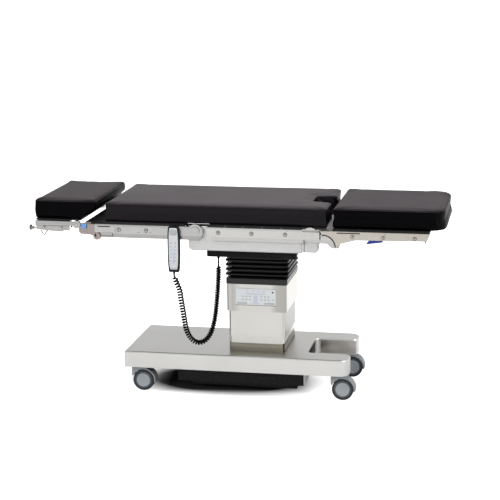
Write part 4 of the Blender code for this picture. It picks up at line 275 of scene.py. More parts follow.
@dataclass(frozen=True)
class Finish:
    """A surface finish: its colours, how rough it is and how it is worked."""

    name: str
    colour: Point
    shade: Point
    surface: Surface
    roughness: float
    metallic: float = 0.0
    specular: float = 0.5
    coat: float = 0.0
    grain: float = 60.0
    bump: float = 0.05
    stretch: Point = (1.0, 1.0, 1.0)
    edge: float = 0.0
    slot: str = ""
    tint: Point = (1.0, 1.0, 1.0)
    # The colour of the painted sheen on the vinyl's upward faces
    sheen_colour: Point = (0.052, 0.044, 0.049)
    # Painted shade and painted reflections: levels that darken the colour in bands along one axis
    bands: tuple[tuple[float, float], ...] = ()
    across: int = 2

    def material(self) -> bpy.types.Material:
        """Return the finish's material, made on its first use."""
        found = bpy.data.materials.get(self.name)
        if found is not None:
            return found
        made = bpy.data.materials.new(self.name)
        made.use_nodes = True
        graph = Graph(made.node_tree)
        shader = made.node_tree.nodes["Principled BSDF"]
        shader.inputs["Metallic"].default_value = self.metallic
        shader.inputs["Specular IOR Level"].default_value = self.specular
        shader.inputs["Coat Weight"].default_value = self.coat
        shader.inputs["Specular Tint"].default_value = (*self.tint, 1.0)
        place = graph.place()
        mapped = graph.add("Mapping")
        mapped.inputs["Scale"].default_value = self.stretch
        graph.link(place, mapped.inputs["Vector"])
        stretched = mapped.outputs["Vector"]
        cloud = self.effect(graph, Effect.TONE, place, TONE_SCALE)
        texture = self.effect(graph, self.texture(), stretched, self.grain)
        mixed = graph.math("ADD", graph.math("MULTIPLY", cloud, 0.6), graph.math("MULTIPLY", texture, 0.4))
        colour = graph.blend(mixed, self.shade, self.colour)
        if self.surface in (Surface.PAINTED, Surface.MOULDED, Surface.RUBBER):
            worn = self.effect(graph, Effect.WEAR, place, WEAR_SCALE, 0.35)
            colour = graph.blend(worn, colour, tuple(min(1.0, c * 1.5 + 0.04) for c in self.colour))
        if self.surface is Surface.VINYL:
            # Painted sheen: the vinyl's upward faces turn lighter, as a top that catches the light
            top_sheen = self.effect(graph, Effect.DUST, place, SHEEN_SCALE)
            colour = graph.blend(top_sheen, colour, self.sheen_colour)
        # Painted shade and painted reflections, in bands across the piece
        if self.bands:
            colour = self.banded(graph, place, colour)
        graph.link(colour, shader.inputs["Base Color"])
        rough = graph.math("ADD", graph.math("MULTIPLY", cloud, 0.06), self.roughness - 0.05)
        rough = graph.math("ADD", rough, graph.math("MULTIPLY", texture, 0.05))
        graph.link(rough, shader.inputs["Roughness"])
        bump = graph.add("Bump")
        bump.inputs["Strength"].default_value = self.bump
        bump.inputs["Distance"].default_value = BUMP_DEPTH
        graph.link(texture, bump.inputs["Height"])
        if self.edge > 0.0:
            soft_edges = graph.add("Bevel", samples=4)
            soft_edges.inputs["Radius"].default_value = self.edge
            graph.link(soft_edges.outputs["Normal"], bump.inputs["Normal"])
        graph.link(bump.outputs["Normal"], shader.inputs["Normal"])
        return made

    def banded(
        self, graph: Graph, place: bpy.types.NodeSocket, colour: bpy.types.NodeSocket
    ) -> bpy.types.NodeSocket:
        """Paint shade and dark reflections into a colour, in bands across the piece.

        Args:
            graph: The material's graph.
            place: The place on the surface.
            colour: The colour to darken.

        Returns:
            The banded colour.
        """
        low, high = self.bands[0][0], self.bands[-1][0]
        ramp = graph.add("ValToRGB")
        stops = ramp.color_ramp.elements
        while len(stops) < len(self.bands):
            stops.new(0.5)
        for stop, (at, level) in zip(stops, self.bands):
            stop.position = (at - low) / (high - low)
            stop.color = (level, level, level, 1.0)
        graph.link(graph.spread(graph.split(place)[self.across], low, high), ramp.inputs["Fac"])
        return graph.blend(1.0, colour, ramp.outputs["Color"], "MULTIPLY")

    def texture(self) -> Effect:
        """Return the effect that gives this surface its fine texture."""
        if self.surface in (Surface.BRUSHED, Surface.MACHINED):
            return Effect.BRUSH
        return Effect.PEBBLE

    def effect(
        self, graph: Graph, effect: Effect, vector: bpy.types.NodeSocket, scale: float, high: float = 1.0
    ) -> bpy.types.NodeSocket:
        """Place an effect's group.

        Args:
            graph: The material's graph.
            effect: The effect.
            vector: Where on the surface.
            scale: How fine the pattern is.
            high: The value for the pattern's high end; its low end is 0.

        Returns:
            The effect's value.
        """
        node = graph.add("Group")
        node.node_tree = effect.group()
        graph.link(vector, node.inputs["Vector"])
        for name, value in (("Scale", scale), ("Low", 0.0), ("High", high)):
            node.inputs[name].default_value = value
        return node.outputs["Value"]

    def dress(self, *pieces: bpy.types.Object) -> None:
        """Give pieces this finish in every slot."""
        for piece in pieces:
            if not piece.material_slots:
                piece.data.materials.append(None)
            for slot in piece.material_slots:
                slot.material = self.material()


LENGTHWAYS = (1.5, 60.0, 60.0)
SHEET_STEEL = Finish(
    "brushed_sheet_steel", (0.84, 0.825, 0.785), (0.71, 0.695, 0.66), Surface.BRUSHED, 0.38, 1.0,
    bump=0.12, grain=8.0, stretch=LENGTHWAYS, edge=0.0015,
)
# Painted reflection: darker bands across X, with dark lines near the edges, where the steel reflects dark
# surroundings
MIDDLE_STEEL = replace(
    SHEET_STEEL, name="brushed_middle_steel", across=0,
    bands=(
        (-0.0482, 0.9), (-0.0445, 0.9), (-0.0428, 0.40), (-0.0402, 0.40), (-0.0385, 1.0),
        (0.204, 1.0), (0.2085, 0.78), (0.213, 1.0), (0.2155, 0.9), (0.2172, 0.6),
    ),
)
# Painted reflection: darker towards both side edges, with a dark line at the right edge, where the steel
# reflects dark surroundings
UPPER_STEEL = replace(
    SHEET_STEEL, name="brushed_upper_steel", colour=(0.82, 0.805, 0.765), shade=(0.69, 0.675, 0.64), across=0,
    bands=(
        (-0.0562, 0.97), (-0.0535, 0.88), (-0.040, 0.84), (-0.026, 0.72), (0.010, 1.0),
        (0.150, 1.0), (0.180, 0.70), (0.2225, 0.66), (0.2245, 0.45), (0.2258, 0.97),
    ),
)
# Painted shade: a darker copy of the sheet steel, for the bay's walls
BAY_STEEL = replace(
    SHEET_STEEL, name="shaded_bay_steel", colour=(0.60, 0.575, 0.535), shade=(0.47, 0.45, 0.415),
    bump=0.10, edge=0.0008, slot="brushed_steel_sheet",
)
# Painted shade: a darker copy of the bay steel, for the band of shadow and reflection round the column's foot
FOOT_SHADE_STEEL = replace(
    BAY_STEEL, name="dark_plinth_steel", colour=(0.36, 0.34, 0.275), shade=(0.25, 0.235, 0.19),
    roughness=0.34,
)
COVER_STEEL = replace(
    SHEET_STEEL, name="brushed_cover_steel", colour=(0.80, 0.795, 0.775), shade=(0.68, 0.675, 0.655),
    roughness=0.36, bump=0.10,
)
LEG_STEEL = Finish(
    "satin_leg_steel", (0.74, 0.70, 0.63), (0.60, 0.56, 0.50), Surface.BRUSHED, 0.32, 1.0,
    bump=0.08, grain=10.0, stretch=LENGTHWAYS, edge=0.0012,
)
HEAD_STEEL = replace(
    LEG_STEEL, name="satin_head_steel", colour=(0.58, 0.57, 0.56), shade=(0.42, 0.415, 0.405),
    roughness=0.30, grain=14.0,
)
# Painted reflection: the rail's lower band, below Z 0.7665, is darker, as it faces the shaded floor
RAIL_STEEL = replace(
    LEG_STEEL, name="satin_rail_steel", colour=(0.78, 0.77, 0.75), shade=(0.66, 0.65, 0.63),
    bands=((0.700, 0.90), (0.7655, 0.90), (0.7675, 1.0), (0.830, 1.0)),
)
# Painted reflection: the rail's lower band, below Z 0.7665, is darker, as it faces the shaded floor
BACK_STEEL = replace(
    LEG_STEEL, name="satin_back_steel", colour=(0.63, 0.625, 0.615), shade=(0.52, 0.515, 0.505),
    bands=((0.700, 0.80), (0.7655, 0.80), (0.7675, 1.0), (0.830, 1.0)),
)
HINGE_STEEL = Finish(
    "machined_hinge_steel", (0.44, 0.385, 0.36), (0.32, 0.275, 0.255), Surface.MACHINED, 0.26, 1.0,
    bump=0.05, grain=30.0, edge=0.0012,
)
BRIGHT_STEEL = replace(
    HINGE_STEEL, name="machined_bright_steel", colour=(0.74, 0.69, 0.67), shade=(0.52, 0.46, 0.44),
    roughness=0.24,
)
SCREW_STEEL = Finish(
    "turned_screw_steel", (0.70, 0.69, 0.67), (0.55, 0.54, 0.52), Surface.MACHINED, 0.28, 1.0,
    bump=0.04, grain=160.0, slot="machined_steel",
)
WHITE_PAINT = Finish(
    "white_powder_paint", (0.80, 0.80, 0.795), (0.75, 0.75, 0.745), Surface.PAINTED, 0.38,
    grain=900.0, bump=0.05, edge=0.0015,
)
BLACK_PAINT = Finish(
    "black_powder_paint", (0.0035, 0.0032, 0.0035), (0.002, 0.002, 0.002), Surface.PAINTED, 0.50,
    specular=0.14, grain=700.0, bump=0.08, edge=0.0012,
)
BLACK_PLASTIC = Finish(
    "black_moulded_plastic", (0.008, 0.007, 0.008), (0.005, 0.004, 0.005), Surface.MOULDED, 0.50,
    specular=0.18, grain=800.0, bump=0.07, edge=0.0015,
)
BOARD_LAMINATE = Finish(
    "black_board_laminate", (0.008, 0.008, 0.009), (0.005, 0.005, 0.006), Surface.MOULDED, 0.45,
    specular=0.3, grain=500.0, bump=0.06,
)
PAD_VINYL = Finish(
    "black_pad_vinyl", (0.0065, 0.0056, 0.0074), (0.0042, 0.0036, 0.0048), Surface.VINYL, 0.42,
    specular=0.22, tint=(1.0, 0.90, 0.96), grain=1100.0, bump=0.10, slot="pad_vinyl",
)
DARK_VINYL = replace(
    PAD_VINYL, name="dark_pad_vinyl", colour=(0.0012, 0.0010, 0.0014), shade=(0.0007, 0.0006, 0.0009),
    specular=0.055,
)
WELT_VINYL = Finish(
    "black_welt_vinyl", (0.010, 0.008, 0.0095), (0.006, 0.005, 0.006), Surface.VINYL, 0.36,
    specular=0.35, grain=1400.0, bump=0.10, slot="pad_vinyl",
)
BELLOWS_RUBBER = Finish(
    "black_bellows_rubber", (0.0015, 0.0015, 0.0016), (0.0008, 0.0008, 0.0008), Surface.RUBBER, 0.22,
    specular=0.30, grain=600.0, bump=0.08, slot="bellows_rubber",
)
COLLAR_RUBBER = Finish(
    "black_collar_rubber", (0.014, 0.013, 0.015), (0.008, 0.007, 0.008), Surface.RUBBER, 0.28,
    specular=0.4, grain=400.0, bump=0.06, edge=0.002,
)
CORD_RUBBER = Finish(
    "black_cord_rubber", (0.0008, 0.0008, 0.0008), (0.0004, 0.0004, 0.0004), Surface.RUBBER, 0.60,
    specular=0.03, grain=900.0, bump=0.06, slot="cord_rubber",
)
CASTER_PLASTIC = Finish(
    "grey_caster_plastic", (0.38, 0.40, 0.42), (0.32, 0.34, 0.36), Surface.MOULDED, 0.42,
    grain=700.0, bump=0.05, edge=0.0015,
)
CAP_PLASTIC = Finish(
    "light_cap_plastic", (0.46, 0.505, 0.535), (0.40, 0.44, 0.47), Surface.MOULDED, 0.40,
    grain=700.0, bump=0.05, slot="caster_cap",
)
RIM_PLASTIC = Finish(
    "grey_rim_plastic", (0.135, 0.150, 0.165), (0.100, 0.112, 0.125), Surface.MOULDED, 0.42,
    grain=700.0, bump=0.05, slot="caster_tyre",
)
TYRE_RUBBER = Finish(
    "dark_tyre_rubber", (0.030, 0.034, 0.038), (0.018, 0.021, 0.024), Surface.RUBBER, 0.55,
    grain=500.0, bump=0.10, slot="caster_tyre",
)
BLUE_LEVER = Finish(
    "blue_lever_plastic", (0.010, 0.035, 0.300), (0.006, 0.022, 0.210), Surface.MOULDED, 0.32,
    grain=600.0, bump=0.03, edge=0.0015,
)
BLUE_BUTTON = replace(
    BLUE_LEVER, name="blue_button_plastic", colour=(0.200, 0.420, 0.830), shade=(0.150, 0.350, 0.740)
)
SHELL_PLASTIC = Finish(
    "black_shell_plastic", (0.004, 0.004, 0.0045), (0.002, 0.002, 0.0025), Surface.MOULDED, 0.40,
    specular=0.22, grain=800.0, bump=0.06, slot="handset_plastic",
)
FACE_FILM = Finish(
    "pale_face_film", (0.76, 0.79, 0.82), (0.71, 0.74, 0.77), Surface.MOULDED, 0.35,
    grain=500.0, bump=0.02, slot="handset_plastic",
)
DISPLAY_GLASS = Finish(
    "grey_green_display", (0.48, 0.52, 0.51), (0.43, 0.47, 0.46), Surface.MOULDED, 0.18,
    coat=0.6, grain=300.0, bump=0.01, slot="handset_plastic",
)
KEY_BLUE = replace(
    FACE_FILM, name="pale_blue_key", colour=(0.60, 0.66, 0.80), shade=(0.56, 0.62, 0.76), roughness=0.36
)
KEY_GREY = replace(
    KEY_BLUE, name="pale_grey_key", colour=(0.56, 0.59, 0.61), shade=(0.51, 0.54, 0.56)
)
PANEL_FILM = Finish(
    "off_white_panel_film", (0.88, 0.905, 0.93), (0.85, 0.875, 0.90), Surface.MOULDED, 0.34,
    grain=400.0, bump=0.02, slot="panel_film",
)
PANEL_BLUE = replace(
    PANEL_FILM, name="pale_blue_panel_print", colour=(0.70, 0.77, 0.86), shade=(0.67, 0.74, 0.83)
)
PANEL_VIOLET = replace(
    PANEL_FILM, name="pale_violet_panel_print", colour=(0.72, 0.73, 0.85), shade=(0.69, 0.70, 0.82)
)
PANEL_GREY = replace(
    PANEL_FILM, name="grey_panel_print", colour=(0.56, 0.575, 0.58), shade=(0.51, 0.52, 0.53)
)
# The dark lamp, and the painted shadow line under the panel
PANEL_DARK = Finish(
    "dark_panel_lamp", (0.012, 0.012, 0.014), (0.008, 0.008, 0.009), Surface.MOULDED, 0.20,
    coat=0.5, grain=400.0, bump=0.01, slot="panel_film",
)


# Camera, lights and floor
@dataclass
class Studio:
    """The camera at the photograph's angle, soft lamps and the pale floor."""

    camera_place: Point = (1.3193, -6.7828, 2.1187)
    yaw: float = math.radians(10.801)
    pitch: float = math.radians(12.034)
    roll: float = math.radians(-0.404)
    lens: float = 108.0
    sensor: float = 36.0
    farthest: float = 200.0
    lamps: tuple[tuple[str, Point, Point, Place, float, bool], ...] = (
        ("overhead_lamp", (0.0, -0.4, 4.4), (0.0, 0.0, 0.6), (4.5, 2.6), 95.0, False),
        ("front_lamp", (-2.4, -5.2, 2.4), (0.0, 0.0, 0.5), (3.0, 2.4), 135.0, False),
        ("side_lamp", (4.8, -1.6, 2.6), (0.2, 0.0, 0.5), (2.2, 2.2), 75.0, True),
    )
    gloss_sky: Place = (0.56, 0.84)
    soft_sky: Place = (0.02, 0.55)
    floor_shown: float = 0.92
    floor_bounce: float = 0.50
    floor_fade: Place = (0.62, 1.02)
    floor_middle: Place = (-0.10, 0.02)
    floor_reach: Place = (0.54, 0.31)
    # The painted shadow: a dark box on the floor under the base, its middle, half sides, turn, level and fade
    painted_shadow_middle: Place = (-0.065, 0.04)
    painted_shadow_reach: Place = (0.350, 0.205)
    painted_shadow_turn: float = 7.0
    painted_shadow_level: float = 0.05
    painted_shadow_fade: Place = (0.86, 1.08)
    back_glow: tuple[float, float, float] = (0.1, 1.5, 0.70)

    def build(self) -> None:
        """Make the camera, the lamps, the world and the floor."""
        self.make_camera()
        for lamp in self.lamps:
            self.make_lamp(*lamp)
        self.make_world()
        self.make_floor()
        bpy.context.scene.view_settings.view_transform = "Standard"

    def make_camera(self) -> None:
        """Place the camera as fitted to the photograph's straight edges."""
        yaw, pitch, roll = self.yaw, self.pitch, self.roll
        level = Vector((math.cos(yaw), math.sin(yaw), 0.0))
        ahead = Vector((-math.sin(yaw), math.cos(yaw), 0.0))
        forward = ahead * math.cos(pitch) - Vector((0.0, 0.0, math.sin(pitch)))
        upright = level.cross(forward)
        right = level * math.cos(roll) + upright * math.sin(roll)
        up = upright * math.cos(roll) - level * math.sin(roll)
        turn = Matrix((right, up, -forward)).transposed().to_4x4()
        data = bpy.data.cameras.new("photo_camera")
        data.lens = self.lens
        data.sensor_width = self.sensor
        data.clip_end = self.farthest
        camera = bpy.data.objects.new("photo_camera", data)
        bpy.context.scene.collection.objects.link(camera)
        camera.matrix_world = Matrix.Translation(self.camera_place) @ turn
        bpy.context.scene.camera = camera

    def make_lamp(
        self, name: str, place: Point, target: Point, size: Place, power: float, reflected: bool
    ) -> None:
        """Add a soft rectangular lamp.

        Args:
            name: The lamp's name.
            place: Where it stands.
            target: What it points at.
            size: Its width and height.
            power: Its power in watts.
            reflected: Whether glossy surfaces show it.
        """
        data = bpy.data.lights.new(name, "AREA")
        data.shape = "RECTANGLE"
        data.size, data.size_y = size
        data.energy = power
        lamp = bpy.data.objects.new(name, data)
        bpy.context.scene.collection.objects.link(lamp)
        lamp.location = place
        lamp.visible_glossy = reflected
        lamp.rotation_euler = (Vector(target) - Vector(place)).to_track_quat("-Z", "Y").to_euler()

    def make_world(self) -> None:
        """White behind the object; a soft dome that is brighter overhead lights it and shows in its gloss."""
        world = bpy.data.worlds.new("studio_world")
        world.use_nodes = True
        bpy.context.scene.world = world
        graph = Graph(world.node_tree)
        background = world.node_tree.nodes["Background"]
        background.inputs["Color"].default_value = WHITE
        seen, glossy = self.rays(graph)
        height = graph.split(graph.place("Generated"))["Z"]
        gloss = graph.math("MULTIPLY", graph.spread(height, 0.0, 0.7, *self.gloss_sky), glossy)
        matt = graph.math("SUBTRACT", 1.0, glossy)
        soft = graph.math("MULTIPLY", graph.spread(height, 0.0, 0.8, *self.soft_sky), matt)
        both = graph.math("ADD", gloss, soft)
        graph.link(graph.math("MAXIMUM", both, seen), background.inputs["Strength"])

    def rays(self, graph: Graph) -> tuple[bpy.types.NodeSocket, bpy.types.NodeSocket]:
        """Tell which rays come straight from the camera and which from a glossy surface."""
        path = graph.add("LightPath").outputs
        seen = graph.math("MAXIMUM", path["Is Camera Ray"], path["Is Transmission Ray"])
        return seen, path["Is Glossy Ray"]

    def make_floor(self) -> None:
        """A pale floor that keeps the shadow, with a painted shadow under the base, and turns to the
        background's white further out.
        """
        bpy.ops.object.select_all(action="DESELECT")
        bpy.ops.mesh.primitive_plane_add(size=160.0, location=(0.0, 40.0, -0.0005))
        floor = bpy.context.object
        floor.name = "studio_floor"
        made = bpy.data.materials.new("studio_floor")
        made.use_nodes = True
        graph = Graph(made.node_tree)
        made.node_tree.nodes.remove(made.node_tree.nodes["Principled BSDF"])
        seen, glossy = self.rays(graph)
        diffuse = graph.add("BsdfDiffuse")
        shown = graph.math("MAXIMUM", seen, glossy)
        # Painted shadow: the floor's colour falls to a dark level inside the box under the base
        under = graph.spread(self.from_box(graph), *self.painted_shadow_fade)
        pale = graph.blend(under, (self.painted_shadow_level,) * 3, (self.floor_shown,) * 3)
        graph.link(graph.blend(shown, (self.floor_bounce,) * 3, pale), diffuse.inputs["Color"])
        glow = graph.add("Emission")
        away = graph.spread(self.from_oval(graph), *self.floor_fade)
        start, end, strength = self.back_glow
        rise = graph.spread(graph.split(graph.place())["Y"], start, end, 0.0, strength)
        behind = graph.math("MULTIPLY", glossy, rise)
        graph.link(graph.math("ADD", graph.math("MULTIPLY", seen, away), behind), glow.inputs["Strength"])
        both = graph.add("AddShader")
        graph.link(diffuse.outputs[0], both.inputs[0])
        graph.link(glow.outputs[0], both.inputs[1])
        graph.link(both.outputs[0], made.node_tree.nodes["Material Output"].inputs["Surface"])
        only(floor)
        bpy.ops.object.transform_apply(location=True, rotation=True, scale=True)
        floor.data.materials.append(made)

    def from_middle(self, graph: Graph, middle: Place, reach: Place, turn: float) -> bpy.types.NodeSocket:
        """Return a floor point's place about a middle.

        Args:
            graph: The floor's graph.
            middle: The middle's X and Y.
            reach: The half lengths that count as 1.
            turn: How far they are turned, in degrees.

        Returns:
            The place, in shares of the half lengths.
        """
        moved = graph.add("Mapping", vector_type="TEXTURE")
        moved.inputs["Location"].default_value = (*middle, 0.0)
        moved.inputs["Rotation"].default_value = (0.0, 0.0, math.radians(turn))
        moved.inputs["Scale"].default_value = (*reach, 1.0)
        graph.link(graph.place(), moved.inputs["Vector"])
        return moved.outputs["Vector"]

    def from_box(self, graph: Graph) -> bpy.types.NodeSocket:
        """Measure how far a floor point lies from the painted shadow's middle, in half lengths of its sides.
        """
        place = self.from_middle(graph, self.painted_shadow_middle, self.painted_shadow_reach, self.painted_shadow_turn)
        sides = graph.split(place)
        long, wide = (graph.math("ABSOLUTE", sides[axis]) for axis in "XY")
        return graph.math("MAXIMUM", long, wide)

    def from_oval(self, graph: Graph) -> bpy.types.NodeSocket:
        """Measure how far a floor point lies from the floor's middle, in half lengths of an oval."""
        away = graph.add("VectorMath", operation="LENGTH")
        graph.link(self.from_middle(graph, self.floor_middle, self.floor_reach, 0.0), away.inputs[0])
        return away.outputs["Value"]


# Shaping
def only(*pieces: bpy.types.Object) -> None:
    """Deselect everything, then select these pieces and make the first one active."""
    bpy.ops.object.select_all(action="DESELECT")
    for piece in pieces:
        piece.select_set(True)
    bpy.context.view_layer.objects.active = pieces[0]


def finish_modifiers(piece: bpy.types.Object) -> None:
    """Apply every modifier of a piece in order."""
    only(piece)
    for name in [m.name for m in piece.modifiers]:
        bpy.ops.object.modifier_apply(modifier=name)


def rounded(corners: Sequence[Place], radii: Sequence[float], steps: int = 8) -> list[Vector]:
    """Round each corner of an outline by its own radius.

    Args:
        corners: The outline's corners.
        radii: A radius for each corner; 0 keeps it sharp.
        steps: Segments in each rounded corner.

    Returns:
        The outline's points.
    """
    made = []
    for i, corner in enumerate(corners):
        here = Vector(corner)
        back = (Vector(corners[i - 1]) - here).normalized()
        ahead = (Vector(corners[(i + 1) % len(corners)]) - here).normalized()
        if radii[i] == 0.0:
            made.append(here)
            continue
        half = back.angle(ahead) / 2.0
        centre = here + (back + ahead).normalized() * radii[i] / math.sin(half)
        start = here + back * radii[i] / math.tan(half) - centre
        end = here + ahead * radii[i] / math.tan(half) - centre
        for k in range(steps + 1):
            made.append(centre + start.slerp(end, k / steps).normalized() * radii[i])
    return made


def inset(outline: Sequence[Vector], distance: float) -> list[Vector]:
    """Move every side of an anticlockwise outline inwards."""
    made = []
    for i, here in enumerate(outline):
        back = (here - outline[i - 1]).normalized()
        ahead = (outline[(i + 1) % len(outline)] - here).normalized()
        first, second = Vector((-back.y, back.x)), Vector((-ahead.y, ahead.x))
        middle = (first + second).normalized()
        made.append(here + middle * distance / max(middle.dot(first), 0.2))
    return made


def lofted(name: str, rings: Sequence[Sequence[Point]]) -> bpy.types.Object:
    """Make a closed soft body through rings of points.

    Args:
        name: The object's name.
        rings: Rings with equal numbers of points, first to last.

    Returns:
        The new object, faces outwards.
    """
    form = bmesh.new()
    rows = [[form.verts.new(p) for p in ring] for ring in rings]
    for low, high in zip(rows, rows[1:]):
        for i in range(len(low)):
            j = (i + 1) % len(low)
            form.faces.new((low[i], low[j], high[j], high[i]))
    form.faces.new(rows[0][::-1])
    form.faces.new(rows[-1])
    bmesh.ops.recalc_face_normals(form, faces=form.faces)
    mesh = bpy.data.meshes.new(name)
    form.to_mesh(mesh)
    form.free()
    piece = bpy.data.objects.new(name, mesh)
    bpy.context.scene.collection.objects.link(piece)
    return piece


class Work:
    """A piece on the bench: a primitive that is shaped in edit mode until it is closed."""

    TURNS = {"X": (0.0, math.pi / 2.0, 0.0), "Y": (math.pi / 2.0, 0.0, 0.0), "Z": (0.0, 0.0, 0.0)}

    def __init__(self, name: str) -> None:
        """Take the primitive just added, put its place into its mesh and open it for shaping."""
        self.piece = bpy.context.object
        self.piece.name = self.piece.data.name = name
        only(self.piece)
        bpy.ops.object.transform_apply(location=True, rotation=True, scale=True)
        bpy.ops.object.mode_set(mode="EDIT")

    @classmethod
    def block(cls, name: str, low: Point, high: Point) -> "Work":
        """Start from a block between two corners."""
        bpy.ops.object.select_all(action="DESELECT")
        bpy.ops.mesh.primitive_cube_add(size=1.0, location=(Vector(low) + Vector(high)) / 2.0)
        bpy.context.object.scale = Vector(high) - Vector(low)
        return cls(name)

    @classmethod
    def bar(
        cls, name: str, centre: Point, radius: float, length: float, axis: str, steps: int
    ) -> "Work":
        """Start from a round bar.

        Args:
            name: The piece's name.
            centre: The bar's middle.
            radius: Its radius.
            length: Its length.
            axis: X, Y or Z.
            steps: Its number of sides.

        Returns:
            The piece, open for shaping.
        """
        bpy.ops.object.select_all(action="DESELECT")
        bpy.ops.mesh.primitive_cylinder_add(
            vertices=steps, radius=radius, depth=length, location=centre, rotation=cls.TURNS[axis]
        )
        return cls(name)

    @classmethod
    def ring(cls, name: str, centre: Point, major: float, minor: float) -> "Work":
        """Start from a ring that lies square to the Y axis."""
        bpy.ops.object.select_all(action="DESELECT")
        bpy.ops.mesh.primitive_torus_add(
            location=centre, rotation=cls.TURNS["Y"], major_radius=major, minor_radius=minor,
            major_segments=96, minor_segments=8,
        )
        return cls(name)

    def drop(self) -> "Work":
        """Remove the selected faces and close the openings that they leave."""
        bpy.ops.mesh.delete(type="FACE")
        bpy.ops.mesh.select_all(action="SELECT")
        bpy.ops.mesh.fill_holes(sides=8)
        return self

    def faces(self, test: Callable[[Vector, Vector], bool]) -> "Work":
        """Select the faces whose middle and normal pass a test."""
        bpy.ops.mesh.select_mode(type="FACE")
        bpy.ops.mesh.select_all(action="DESELECT")
        form = bmesh.from_edit_mesh(self.piece.data)
        for face in form.faces:
            face.select_set(test(face.calc_center_median(), face.normal))
        bmesh.update_edit_mesh(self.piece.data)
        return self

    def edges(self, test: Callable[[Vector, Vector], bool]) -> "Work":
        """Select the edges whose middle and direction pass a test."""
        bpy.ops.mesh.select_mode(type="EDGE")
        bpy.ops.mesh.select_all(action="DESELECT")
        form = bmesh.from_edit_mesh(self.piece.data)
        for edge in form.edges:
            first, second = edge.verts[0].co, edge.verts[1].co
            edge.select_set(test((first + second) / 2.0, (second - first).normalized()))
        bmesh.update_edit_mesh(self.piece.data)
        return self

    def looking(self, axis: str, sign: float, share: float = ALONG) -> "Work":
        """Select the faces that look one way along an axis."""
        at = "XYZ".index(axis)
        return self.faces(lambda middle, normal: normal[at] * sign > share)

    def along(self, axis: str) -> "Work":
        """Select the edges that run along an axis."""
        at = "XYZ".index(axis)
        return self.edges(lambda middle, way: abs(way[at]) > ALONG)

    def across(self, axis: str) -> "Work":
        """Select the edges square to an axis."""
        at = "XYZ".index(axis)
        return self.edges(lambda middle, way: abs(way[at]) < ACROSS)

    def front(self, level: float) -> "Work":
        """Select the edges square to Y that lie before a level."""
        return self.edges(lambda middle, way: abs(way.y) < ACROSS and middle.y < level)

    def every(self) -> "Work":
        """Select every edge."""
        return self.edges(lambda middle, way: True)

    def resize(self, factors: Point, centre: Point) -> "Work":
        """Scale the selection about a centre."""
        bpy.ops.transform.resize(value=factors, center_override=centre)
        return self

    def bevel(self, width: float, steps: int = 3) -> "Work":
        """Round the selected edges."""
        bpy.ops.mesh.bevel(offset=width, segments=steps, affect="EDGES")
        return self

    def inset(self, width: float, depth: float = 0.0) -> "Work":
        """Inset the selected faces, which move out by the depth."""
        bpy.ops.mesh.inset(thickness=width, depth=depth)
        return self

    def extrude(self, move: Point, factors: Point, centre: Point) -> "Work":
        """Extrude the selected faces by a move, then scale them about a centre."""
        bpy.ops.mesh.extrude_region_move(TRANSFORM_OT_translate={"value": move})
        return self.resize(factors, centre)

    def close(self, finish: "Finish", angle: float = 35.0) -> bpy.types.Object:
        """End the shaping, shade the piece and dress it.

        Args:
            finish: Its finish.
            angle: Edges sharper than this, in degrees, stay sharp.

        Returns:
            The finished piece.
        """
        bpy.ops.object.mode_set(mode="OBJECT")
        only(self.piece)
        bpy.ops.object.shade_smooth_by_angle(angle=math.radians(angle))
        finish.dress(self.piece)
        return self.piece


def copied(piece: bpy.types.Object, name: str, move: Point) -> bpy.types.Object:
    """Copy a piece, mesh and all, to another place."""
    only(piece)
    bpy.ops.object.duplicate(linked=False)
    twin = bpy.context.object
    twin.name = twin.data.name = name
    twin.location = Vector(move)
    bpy.ops.object.transform_apply(location=True, rotation=False, scale=False)
    return twin


def mirrored(piece: bpy.types.Object, name: str, axis: int, middle: float) -> bpy.types.Object:
    """Copy a piece to the other side of a plane.

    Args:
        piece: The piece to copy.
        name: The copy's name.
        axis: 0, 1 or 2 for a plane square to X, Y or Z.
        middle: The plane's place on that axis.

    Returns:
        The copy, its faces outwards.
    """
    twin = copied(piece, name, (0.0, 0.0, 0.0))
    factors, place = [1.0, 1.0, 1.0], [0.0, 0.0, 0.0]
    factors[axis], place[axis] = -1.0, 2.0 * middle
    twin.scale, twin.location = factors, place
    bpy.ops.object.transform_apply(location=True, rotation=False, scale=True)
    bpy.ops.object.mode_set(mode="EDIT")
    bpy.ops.mesh.select_all(action="SELECT")
    bpy.ops.mesh.normals_make_consistent(inside=False)
    bpy.ops.object.mode_set(mode="OBJECT")
    return twin


def joined(name: str, *pieces: bpy.types.Object) -> bpy.types.Object:
    """Join pieces into one object."""
    only(*pieces)
    bpy.ops.object.join()
    pieces[0].name = pieces[0].data.name = name
    return pieces[0]


